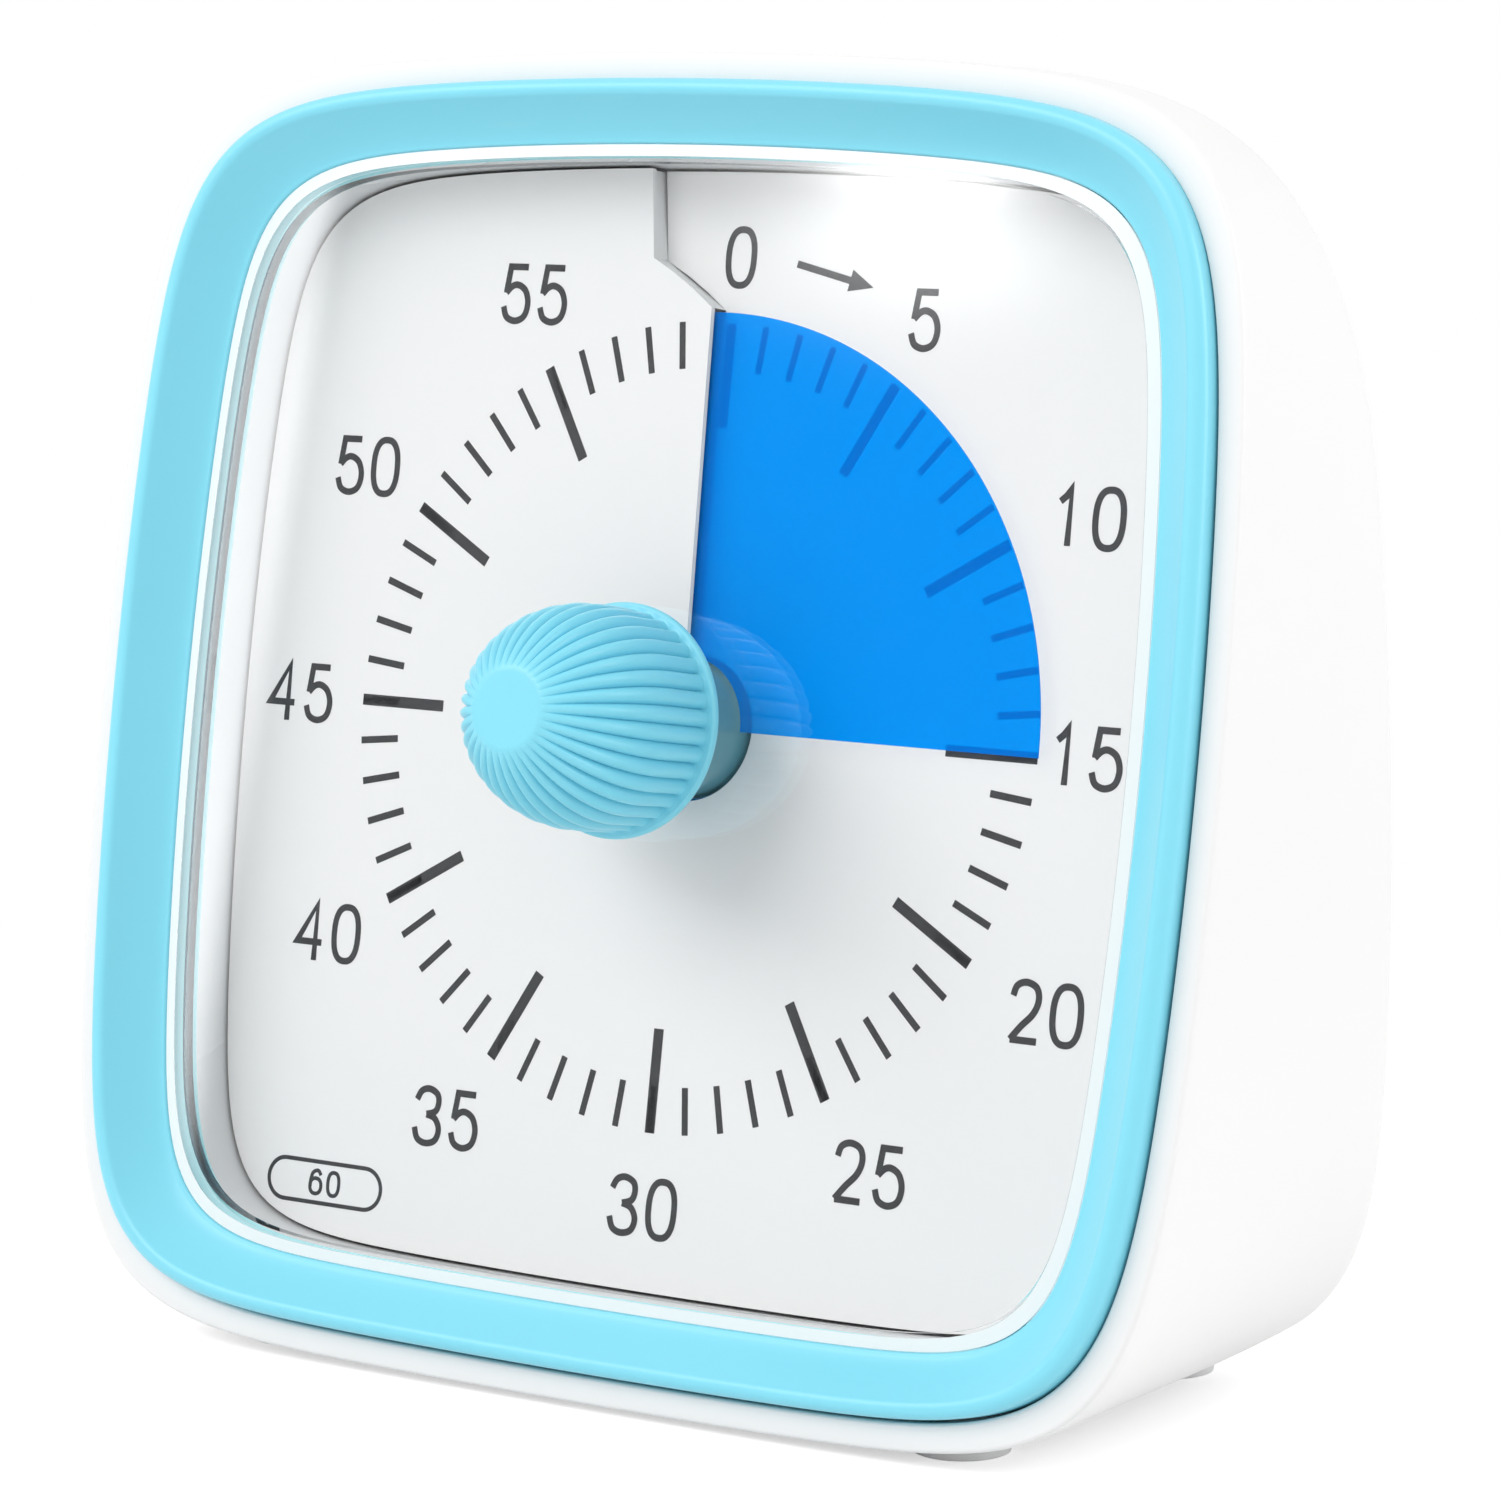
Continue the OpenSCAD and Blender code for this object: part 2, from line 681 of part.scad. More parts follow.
module arbor() color("silver") on_dial() {
    rod(arbor_r, centre_z + shoulder_h, arbor_top);
    rod(arbor_r + 1, centre_z + wheel_t / 2 + face_gap, centre_z + shoulder_h);
    rod(wheel_seat_r, centre_z - seat_end, centre_z + shoulder_h);
    rod(pivot_r, arbor_bottom, centre_z - seat_end);
}

// ---- Gear train ----

// Wheel with pointed arch teeth: straight flanks below the pitch circle, arcs above it
module toothed(teeth, thickness, tooth_share, tip, root) {
    r = teeth * gear_module / 2;
    step = 360 / teeth;
    half = step * tooth_share / 2;
    points = [for (i = [0:teeth - 1]) let (t = i * step)
        each [for (q = [[r - root, -half], [r, -half], [r + tip * 0.6, -half * 0.72],
                        [r + tip, -half * 0.3], [r + tip, half * 0.3],
                        [r + tip * 0.6, half * 0.72], [r, half], [r - root, half]])
              [q[0] * cos(t + q[1]), q[0] * sin(t + q[1])]]];
    linear_extrude(thickness, center = true) polygon(points);
}

// Angle that sets a tooth gap of the follower against a tooth of the leader, along the line a
function mesh_turn(a, leader_teeth, leader_turn, teeth) =
    let (phase = (a - leader_turn) * leader_teeth / 360)
    a + 180 + phase * 360 / teeth + 180 / teeth;

idler_turn = mesh_turn(idler_a, centre_teeth, 0, pinion_teeth);
drive_turn = mesh_turn(motor_a, idler_teeth, idler_turn, pinion_teeth);

// Round windows in a wheel's web
module web_holes(count, r, hole_r) {
    for (i = [0:count - 1]) rotate((i + 0.5) * 360 / count) translate([r, 0, 0])
        rod(hole_r, -2 * wheel_t, 2 * wheel_t);
}

module centre_wheel() color("gold") on_dial() translate([0, 0, centre_z]) difference() {
    toothed(centre_teeth, wheel_t, wheel_share, wheel_tip, wheel_root);
    rod(wheel_seat_r + slip, -wheel_t, wheel_t);
    web_holes(5, centre_r * 0.58, centre_r * 0.2);
}

module clutch_spring() color("goldenrod") on_dial() {
    translate([0, 0, centre_z - wheel_t / 2 - face_gap - dimple_h]) difference() {
        union() {
            for (i = [0:2]) rotate(i * 120) {
                block(0, leaf_l, -leaf_w / 2, leaf_w / 2, 0, leaf_t);
                translate([leaf_l - dimple_r, 0, 0]) rod(dimple_r, 0, dimple_h);
            }
            rod(leaf_hub_r, 0, leaf_t);
        }
        rod(wheel_seat_r + slip, -through, 2 * dimple_h);
    }
}

module clutch_collar() color("silver") on_dial() difference() {
    top = centre_z - wheel_t / 2 - 2 * face_gap - dimple_h;
    rod(collar_r, centre_z - seat_end + 0.1, top);
    rod(wheel_seat_r + slip, centre_z - 2 * seat_end, top + through);
}

module idler_wheel() color("gold") on_dial() at([[idler_x, idler_y]]) difference() {
    pinion_top = centre_z + pinion_past;
    union() {
        rotate(idler_turn) translate([0, 0, idler_z])
            toothed(idler_teeth, wheel_t, wheel_share, wheel_tip, wheel_root);
        rotate(idler_turn) translate([0, 0, (idler_z + pinion_top) / 2])
            toothed(pinion_teeth, pinion_top - idler_z, pinion_share, pinion_tip,
                    pinion_root);
    }
    rod(idler_pin_r + running, idler_z - 2 * wheel_t, pinion_top + through);
    translate([0, 0, idler_z]) web_holes(4, idler_r * 0.6, idler_r * 0.2);
}

module idler_pin() color("silver") on_dial() at([[idler_x, idler_y]])
    rod(idler_pin_r, case_back - pin_seat, case_front - case_wall + pin_seat);

module drive_pinion() color("gold") on_dial() at([[motor_x, motor_y]]) difference() {
    rotate(drive_turn) translate([0, 0, idler_z])
        toothed(pinion_teeth, pinion_len, pinion_share, pinion_tip, pinion_root);
    rod(idler_pin_r + running, idler_z - pinion_len, idler_z + pinion_len);
}

module gear_motor() color("silver") on_dial() at([[motor_x, motor_y]]) {
    top = case_front - case_wall - face_gap;
    rod(motor_r, idler_z + pinion_len / 2 + clear, top);
    rod(idler_pin_r, idler_z - pinion_len / 2 - 0.2, top);
    rod(motor_boss_r, idler_z + pinion_len / 2 + 0.1, top);
}

// ---- Movement ----

module movement_case() color("dimgray") on_dial() difference() {
    union() {
        difference() {
            block(case_left, case_right, case_bottom, case_top, case_back, case_front);
            block(case_left + case_wall, case_right - case_wall, case_bottom + case_wall,
                  case_top - case_wall, case_back - through, case_front - case_wall);
        }
        rod(arbor_r + 2, case_front, centre_z + shoulder_h + face_gap);
        for (p = ear_places) case_ear(p);
        at(cover_screws) rod(screw_post_r, case_back, case_front);
    }
    rod(arbor_r + running, case_back, case_front + through);
    at(ear_places) rod(screw_r + screw_free, frame_back - ear_drop - ear_t - through,
                       frame_back - ear_drop + through);
    at([[idler_x, idler_y]]) rod(idler_pin_r + slip, case_front - case_wall - through,
                                 case_front - case_wall + pin_seat + 0.1);
    at(cover_screws) rod(screw_r + screw_bite, case_back - through, case_back + 7);
}

// Ear on the case's side, which a screw holds to a post of the dial frame
module case_ear(p) {
    low = frame_back - ear_drop - ear_t;
    high = frame_back - ear_drop - face_gap;
    edge = p[0] < 0 ? case_left + case_wall : case_right - case_wall;
    at([p]) rod(ear_r, low, high);
    block(min(p[0], edge), max(p[0], edge), p[1] - ear_r, p[1] + ear_r, low, high);
}

module movement_cover() color("dimgray") on_dial() difference() {
    union() {
        block(case_left, case_right, case_bottom, case_top, cover_back, case_back - face_gap);
        rod(hub_r, cover_back, centre_z - seat_end - 1);
        at([[idler_x, idler_y]]) rod(idler_pin_r + 1.2, cover_back, case_back + 0.6);
    }
    rod(pivot_r + running, cover_back + 0.5, case_front);
    at([[idler_x, idler_y]])
        rod(idler_pin_r + slip, case_back - pin_seat - 0.1, case_back + through);
    at(cover_screws) rod(screw_r + screw_free, cover_back - through, case_back + through);
}

// Cross-recessed pan head screw along z, head behind z = 0 and shank towards +z
module screw(r, length, head_r, head_t) {
    slot = 0.35;
    difference() {
        rod(head_r, -head_t, 0);
        for (a = [0, 90]) rotate(a)
            block(-head_r * 0.6, head_r * 0.6, -slot, slot, -head_t - through,
                  -head_t * 0.45);
    }
    rod(r, -0.2, length);
}

module movement_screws() color("silver") on_dial() {
    at(cover_screws) translate([0, 0, cover_back - face_gap])
        screw(screw_r, 7, small_head_r, small_head_t);
    at(ear_places) translate([0, 0, frame_back - ear_drop - ear_t - face_gap])
        screw(screw_r, ear_drop + 1.2, small_head_r, small_head_t);
}

// ---- Electronics ----

function board_places() = [for (side = [-1, 1]) [side * board_screw_x, board_y]];

module circuit_board() color("darkgreen") on_dial() difference() {
    block(-board_w / 2, board_w / 2, board_y - board_h / 2, board_y + board_h / 2,
          board_back, board_front);
    at(board_places()) rod(screw_r + screw_free, board_back - through, board_front + through);
}

module board_screws() color("silver") on_dial()
    at(board_places()) translate([0, 0, board_back - face_gap])
        screw(screw_r, board_t + board_gap, small_head_r, small_head_t);

// Clock chip, two capacitors and the plug that the leads go to
module board_parts() color("black") on_dial() translate([0, board_y, board_back - face_gap]) {
    block(-chip / 2, chip / 2, -chip / 2, chip / 2, -chip_t, 0);
    for (x = [-1, 1]) translate([x * (chip / 2 + 2 * can_r), -board_h / 2 + 2 * can_r, 0])
        rod(can_r, -can_h, 0);
    translate([0, board_h / 2 - plug_h, 0])
        block(-plug_l / 2, plug_l / 2, -plug_h / 2, plug_h / 2, -plug_t, 0);
}

module speaker() color("dimgray") on_back()
    translate([sound_x, sound_v, -wall - face_gap - speaker_t]) {
        translate([0, 0, 1.4]) cylinder(d = speaker_d, h = speaker_t - 1.4);
        cylinder(d = speaker_d * 0.6, h = 2);
    }

module switch_body() color("silver") on_back() translate([-sound_x, sound_v, 0])
    block(-switch_l / 2, switch_l / 2, -switch_h / 2, switch_h / 2, -wall - switch_t,
          -wall - switch_gap);

module volume_slider() color("black") on_back() translate([-sound_x, sound_v, 0]) {
    block(-slide_l / 2, slide_l / 2, -slide_h / 2, slide_h / 2,
          -wall - switch_gap + face_gap, slide_out);
    for (i = [-1:1]) translate([i * slide_l * slide_ridge, 0, 0])
        block(-slide_ridge, slide_ridge, -slide_h / 2, slide_h / 2, slide_out - slide_ridge,
              slide_out + slide_ridge);
}

// ---- Battery ----

module battery_cell() color("darkgray") on_back()
    translate([cell_shift, cell_v, -cell_depth]) rotate([0, 90, 0]) {
        translate([0, 0, -cell_l / 2]) cylinder(d = cell_d, h = cell_l);
        translate([0, 0, cell_l / 2]) cylinder(d = cell_nub_d, h = cell_nub);
    }

// Coil spring along z that narrows towards its tip
module cone_coil(r0, r1, length, turns, wire) {
    steps = turns * 16;
    sides = 8;
    skin([for (i = [0:steps]) let (f = i / steps, t = 360 * turns * f, r = mix(r0, r1, f))
        [for (k = [0:sides - 1]) let (a = -360 * k / sides, w = wire / 2)
            [(r + w * cos(a)) * cos(t), (r + w * cos(a)) * sin(t), length * f + w * sin(a)]]]);
}

// Coil that presses on the flat end of the cell, with the plate that it stands on
module battery_spring() color("silver") on_back()
    translate([-cavity_l / 2, cell_v, -cell_depth]) rotate([0, 90, 0]) {
        plate = face_gap + contact_t;
        block(-plate_w / 2, plate_w / 2, -plate_w / 2, plate_w / 2, face_gap, plate);
        translate([0, 0, plate + spring_wire * 0.4])
            cone_coil(spring_r0, spring_r1, spring_len, spring_turns, spring_wire);
    }

module battery_contact() color("silver") on_back()
    translate([cavity_l / 2, cell_v, -cell_depth]) rotate([0, 90, 0]) {
        block(-plate_w / 2 + 1, plate_w / 2 - 1, -plate_w / 2, plate_w / 2,
              -face_gap - contact_t, -face_gap);
        rod(plate_w / 4, -dimple_gap, -face_gap - contact_t / 2);
    }

module battery_door() color("white") on_back() translate([0, cell_v, 0]) difference() {
    union() {
        block(-door_w / 2, door_w / 2, -door_h / 2, door_h / 2, -door_t, -face_gap);
        for (y = [-tongue_y, tongue_y])
            block(-door_w / 2 - tongue_w, door_w / 2 + tongue_w, y - tongue_l / 2,
                  y + tongue_l / 2, -door_t, -door_t + tongue_t);
    }
    for (i = [0:ridge_n - 1]) translate([0, door_h / 2 - 8 + i * 1.4, 0])
        block(-9 + i / 2, 9 - i / 2, 0, 0.6, -0.6, through);
}

// ---- Leads ----

// Point on a smooth curve through a list of points, f steps along it
function on_curve(p, f) =
    let (i = min(floor(f), len(p) - 2), t = f - i,
         a = p[max(i - 1, 0)], b = p[i], c = p[i + 1], d = p[min(i + 2, len(p) - 1)])
    0.5 * (2 * b + (c - a) * t + (2 * a - 5 * b + 4 * c - d) * t * t
           + (3 * b - a - 3 * c + d) * t * t * t);

// Round lead along a smooth curve through points placed by hand
module lead(path, r) {
    sides = 8;
    steps = 4 * (len(path) - 1);
    line = [for (i = [0:steps]) on_curve(path, i / 4)];
    skin([for (i = [0:steps])
        let (along = unit(line[min(i + 1, steps)] - line[max(i - 1, 0)]),
             u = unit(cross(along, [0.31, 0.67, 0.68])), v = cross(along, u))
        [for (k = [0:sides - 1]) let (a = 360 * k / sides)
            line[i] + r * (cos(a) * u + sin(a) * v)]]);
}

// From each contact's back, out of the box and up beside the movement to the board's plug
module battery_leads() color("red") {
    start = cavity_l / 2 + clear;
    out = cavity_l / 2 + box_wall + 3;
    v = cell_v + cell_d / 4;
    over = cell_v + cavity_h / 2 + box_wall + 3;
    deep = -wall - 6;
    beside = case_right + 2 * ear_r + 4;
    lead([back_point([-start, v, -cell_depth]), back_point([-out, v, -cell_depth]),
          back_point([-out, over, deep - 2]), back_point([-beside, over + 16, deep]),
          dial_point([beside, 24, plug_z - 5]), dial_point([10, plug_y + 1, plug_z - 1]),
          dial_point([plug_l / 2 + clear, plug_y + 1, plug_z])], lead_r);
    lead([back_point([start, v, -cell_depth]), back_point([out, v, -cell_depth]),
          back_point([out - 3, over, deep]), back_point([0, over + 1, deep]),
          back_point([-beside + 4, over + 6, deep]), back_point([-beside + 3, over + 18, deep]),
          dial_point([beside - 3, 22, plug_z - 5]), dial_point([10, plug_y - 1, plug_z - 2]),
          dial_point([plug_l / 2 + clear, plug_y - 1, plug_z])], lead_r);
}

// From the speaker's back to the other end of the plug
module speaker_leads() color("gray") {
    front = -wall - face_gap - speaker_t - lead_r - face_gap;
    for (side = [-1, 1])
        lead([back_point([sound_x + side * 2, sound_v, front]),
              back_point([sound_x + side * 2 - 4, sound_v + 6, front - 1]),
              dial_point([-board_w / 2 - 3, board_y + side, plug_z - 3]),
              dial_point([-10, plug_y + side, plug_z - 1]),
              dial_point([-plug_l / 2 - clear, plug_y + side, plug_z])], lead_r);
}

// ---- Fasteners and feet ----

module housing_screws() color("silver") on_dial()
    at(post_places) translate([0, 0, post_back - boss_shelf - face_gap])
        screw(long_screw_r, long_screw_l, screw_head_r, screw_head_t);

module rubber_feet() color("gray")
    for (x = [-foot_x, foot_x], y = [-foot_y, foot_y])
        translate([x, body_y + y, 0]) cylinder(r = foot_r, h = foot_t - face_gap);

rear_housing();
front_bezel();
lens();
dial_frame();
dial_plate();
time_film();
knob();
knob_stem();
arbor();
centre_wheel();
clutch_spring();
clutch_collar();
idler_wheel();
idler_pin();
drive_pinion();
gear_motor();
movement_case();
movement_cover();
movement_screws();
circuit_board();
board_parts();
board_screws();
speaker();
switch_body();
volume_slider();
battery_cell();
battery_spring();
battery_contact();
battery_door();
battery_leads();
speaker_leads();
housing_screws();
rubber_feet();
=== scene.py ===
import json
import math

import bmesh
import bpy
from mathutils import Matrix, Vector


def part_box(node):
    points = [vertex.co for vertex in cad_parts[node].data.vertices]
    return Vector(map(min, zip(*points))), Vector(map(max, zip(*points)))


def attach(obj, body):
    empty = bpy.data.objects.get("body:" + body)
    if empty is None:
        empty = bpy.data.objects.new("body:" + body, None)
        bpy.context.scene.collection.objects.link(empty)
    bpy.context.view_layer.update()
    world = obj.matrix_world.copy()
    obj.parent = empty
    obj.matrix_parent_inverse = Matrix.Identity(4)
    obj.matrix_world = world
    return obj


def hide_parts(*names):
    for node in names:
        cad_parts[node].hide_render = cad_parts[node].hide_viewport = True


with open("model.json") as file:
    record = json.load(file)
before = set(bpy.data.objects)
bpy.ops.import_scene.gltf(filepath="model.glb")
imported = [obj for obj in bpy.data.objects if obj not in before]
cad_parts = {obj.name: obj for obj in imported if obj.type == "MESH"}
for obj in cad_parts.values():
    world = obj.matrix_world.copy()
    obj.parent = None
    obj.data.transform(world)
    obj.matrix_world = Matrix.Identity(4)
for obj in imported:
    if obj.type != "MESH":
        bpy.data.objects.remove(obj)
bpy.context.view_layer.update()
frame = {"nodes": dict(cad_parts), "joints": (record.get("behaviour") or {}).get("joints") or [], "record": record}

bl_info = {
    "name": "Visual Countdown Timer",
    "version": (1, 0, 0),
    "blender": (4, 5, 0),
    "location": "View3D > Sidebar > Timer",
    "description": "Finished pieces, prints, materials and studio for a leaning countdown timer",
    "category": "Object",
}

MM = 0.001


# ---- Where things are ----


def joint(name):
    """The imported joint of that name."""
    return next(j for j in frame["joints"] if j["name"] == name)


def axes(x, y, z, origin):
    """Matrix that carries a local point into the world frame."""
    return Matrix([[x[i], y[i], z[i], origin[i]] for i in range(3)] + [[0, 0, 0, 1]])


KNOB_JOINT = joint("knob_turn")
DIAL_CENTRE = Vector(KNOB_JOINT["pos_m"])
LEAN = math.asin(-KNOB_JOINT["axis"][2])
BACK_LEAN = math.asin(joint("door_slide")["axis"][1])
FOOT_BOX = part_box("rubber_feet")
BODY_Y = (FOOT_BOX[0].y + FOOT_BOX[1].y) / 2

# Dial frame: x right, y up the dial, z out of the dial
DIAL = axes((1, 0, 0), (0, math.sin(LEAN), math.cos(LEAN)),
            (0, -math.cos(LEAN), math.sin(LEAN)), DIAL_CENTRE)


# ---- Sizes and colours that a user would change ----


def length(name, description, millimetres):
    """A size with its default in millimetres."""
    return bpy.props.FloatProperty(name=name, description=description,
                                   default=millimetres * MM, unit="LENGTH", subtype="DISTANCE")


def number(name, description, value):
    """A plain number, or a share of another size."""
    return bpy.props.FloatProperty(name=name, description=description, default=value)


def angle(name, description, degrees):
    """An angle with its default in degrees."""
    return bpy.props.FloatProperty(name=name, description=description,
                                   default=math.radians(degrees), unit="ROTATION",
                                   subtype="ANGLE")


def colour(name, description, rgb):
    """A linear colour."""
    return bpy.props.FloatVectorProperty(name=name, description=description, default=rgb,
                                         size=3, min=0, max=1, subtype="COLOR")


class TimerHousingSizes(bpy.types.PropertyGroup):
    """Sizes of the moulded housing."""

    width: length("Width", "Width at the front lip", 139.2)
    height: length("Height", "Height at the front lip", 135.6)
    depth: length("Depth", "From the front lip to the back wall", 59.6)
    wall: length("Wall", "Wall thickness", 2.4)
    side_draw: length("Side draw", "How much narrower each side is at the back", 3.6)
    roof_draw: length("Roof draw", "How much lower the roof is at the back", 13.5)
    back_edge: length("Back edge", "Radius of the edge round the back wall", 7)
    lip_round: length("Lip round", "Radius of the front lip's outer edge", 0.5)
    base: length("Base", "Height of the base over the table", 0.8)
    lip_land: length("Lip land", "How far the lip reaches in towards the bezel", 0.33)
    squareness: number("Squareness", "Squareness of the front outline", 7.3)
    side_bow: number("Side bow", "Bow of each side, as a share of the half width", 0.057)
    roof_bow: number("Roof bow", "Bow of the roof, as a share of the half height", 0.05)
    base_bow: number("Base bow", "Bow of the base, as a share of the half height", 0.016)


class TimerFrontSizes(bpy.types.PropertyGroup):
    """Sizes of the bezel, the lens and the dial frame."""

    band_side: length("Band at the sides", "Width of the bezel at its sides", 7.1)
    band_top: length("Band at the top", "Width of the bezel at its top and bottom", 6.2)
    bezel_clear: length("Bezel gap", "Gap between the bezel and the housing", 0.6)
    bezel_square: number("Bezel squareness", "Squareness of the bezel's outside", 7.55)
    window_square: number("Window squareness", "Squareness of the window", 9.05)
    window_drop: length("Window drop", "Window's middle below the dial's", 0.3)
    dial_sink: length("Dial sink", "Dial behind the housing's front lip", 13.3)
    bezel_proud: length("Bezel proud", "Bezel's lip in front of the housing's lip", 2.3)
    bezel_dish: length("Bezel dish", "Drop from the bezel's lip to the window", 4.3)
    lip_radius: length("Lip radius", "Radius of the bezel's outer lip", 1.1)
    lens_thick: length("Lens", "Thickness of the clear lens", 1.6)
    # Painted highlight: this bevel band is coloured white
    border: length("Lens border", "Width of the white bevel band round the lens", 1.25)
    border_rise: length("Border rise", "Rise of that bevel towards the lens's face", 0.3)
    groove: length("Groove", "Height of the groove under the dial frame's rim", 1.15)
    lens_lap: length("Lens lap", "How far the lens flange runs under the bezel", 2.7)
    recess_inset: length("Recess inset", "Recess wall inside the window's outline", 1.1)
    frame_wall: length("Frame wall", "Thickness of the dial frame's walls", 2)
    frame_draft: length("Frame draft", "How much the frame narrows to its back", 0.6)


class TimerDialSizes(bpy.types.PropertyGroup):
    """Sizes of the spiral dial, its prints and the film."""

    scale: length("Scale radius", "Outer radius of the minute marks", 42)
    film_over: length("Film over", "How far the film reaches past the marks", 1)
    pitch: length("Pitch", "Rise of the dial plate over one turn", 2.6)
    plate: length("Plate", "Thickness of the dial plate", 0.6)
    film: length("Film", "Thickness of the coloured film", 0.2)
    film_gap: length("Film gap", "Film above the plate", 1.5)
    rest_minutes: number("Minutes", "Minutes shown at rest", 15)
    cut_inner: angle("Cut near the scale", "Cut past twelve o'clock near the scale", 1.2)
    cut_outer: angle("Cut at the wall", "Cut past twelve o'clock at the wall", 10.3)
    neck_hole: length("Neck hole", "Radius of the plate's hole for the neck", 7.6)
    major_length: length("Long mark", "Length of a five minute mark", 10.8)
    minor_length: length("Short mark", "Length of a minute mark", 4.9)
    major_width: length("Long mark width", "Width of a five minute mark", 1.2)
    minor_width: length("Short mark width", "Width of a minute mark", 0.75)
    digit_height: length("Digit height", "Height of the numerals", 6.5)
    digit_width: length("Digit width", "Width of one numeral", 3.9)
    digit_stroke: length("Digit stroke", "Stroke width of the numerals", 0.72)
    ink: length("Ink", "Thickness of the printed ink", 0.02)


class TimerKnobSizes(bpy.types.PropertyGroup):
    """Sizes of the ribbed knob."""

    rim: length("Rim", "Diameter of the knob's rim", 24.1)
    rim_over: length("Rim over", "How far the rim stands out past the ribs", 0.55)
    rim_thick: length("Rim thickness", "Thickness of the rim", 1)
    front: length("Front", "Height of the front face over the dial", 33.2)
    back: length("Back", "Height of the rim over the dial", 13.6)
    tube: length("Tube", "Length of the straight part behind the dome", 6.4)
    flat: length("Flat", "Radius of the flat face", 4.2)
    rib_depth: length("Rib depth", "Depth of the grooves between the ribs", 0.95)
    bore: length("Bore", "Radius of the hole for the stem's spigot", 4.53)
    bore_end: length("Bore end", "Height of the bore's end over the dial", 26.3)
    ribs: bpy.props.IntProperty(name="Ribs", description="Ribs round the knob", default=36)


class TimerColours(bpy.types.PropertyGroup):
    """Colours of the finishes, linear."""

    white: colour("White", "Housing", (0.865, 0.86, 0.86))
    blue: colour("Blue", "Bezel and knob", (0.228, 0.71, 0.865))
    # Painted light: the rim's blue is paler than the bezel's so that it reads lit in the shade under the lens
    rim: colour("Rim", "Dial frame's rim under the lens", (0.60, 0.92, 0.96))
    recess: colour("Recess", "Dial frame", (0.78, 0.78, 0.785))
    dial: colour("Dial", "Dial plate", (0.885, 0.878, 0.876))
    ink: colour("Ink", "Printed marks", (0.035, 0.036, 0.039))
    # Painted highlight: the white of the lens's bevel band
    frost: colour("Frost", "White band on the lens's bevel, a painted highlight", (0.88, 0.91, 0.91))
    film_body: colour("Film body", "Light scattered by the film", (0.0, 0.284, 1.0))
    film_clear: colour("Film tint", "Light let through by the film", (0.0, 0.706, 1.0))
    stem: colour("Stem", "Neck of the knob", (0.115, 0.30, 0.36))


class TimerStudio(bpy.types.PropertyGroup):
    """Camera and light."""

    distance: length("Distance", "Camera from the dial", 574.2)
    azimuth: angle("Azimuth", "Camera round to the right", 34.5)
    elevation: angle("Elevation", "Camera above the dial", 7.55)
    aim_right: length("Aim right", "Camera shifted to its right", 5.4)
    aim_up: length("Aim up", "Camera shifted up", -2.2)
    focal: number("Focal length", "Lens of the camera in millimetres", 133.2)
    ambient: number("Ambient", "Strength of the room's even light", 0.72)
    key: number("Key lamp", "Power of the lamp at the left in watts", 20)
    side: number("Side lamp", "Power of the lamp at the right in watts", 15)


GROUPS = {
    "timer_housing": TimerHousingSizes,
    "timer_front": TimerFrontSizes,
    "timer_dial": TimerDialSizes,
    "timer_knob": TimerKnobSizes,
    "timer_colours": TimerColours,
    "timer_studio": TimerStudio,
}


# ---- Outlines ----


OUTLINE_POINTS = 256
CORNER_PULL = math.radians(8)  # draws the outline's points towards its corners


def mix(a, b, f):
    """The value a share f of the way from a to b."""
    return a + (b - a) * f


def squared(half_width, half_height, squareness, t):
    """Point of a squared outline in the direction t."""
    across = (abs(math.cos(t)) / half_width) ** squareness
    up = (abs(math.sin(t)) / half_height) ** squareness
    radius = (across + up) ** (-1 / squareness)
    return radius * math.cos(t), radius * math.sin(t)


def outline(half_width, half_height, squareness, bows):
    """Points of a squared outline whose sides bow in towards its corners, from the right."""
    side, roof, base = bows
    points = []
    for k in range(OUTLINE_POINTS):
        t = 2 * math.pi * k / OUTLINE_POINTS
        x, y = squared(half_width, half_height, squareness, t + CORNER_PULL * math.sin(4 * t))
        end = roof if y > 0 else base
        points.append((x * (1 - side * (y / half_height) ** 2),
                       y * (1 - end * (x / half_width) ** 2)))
    return points


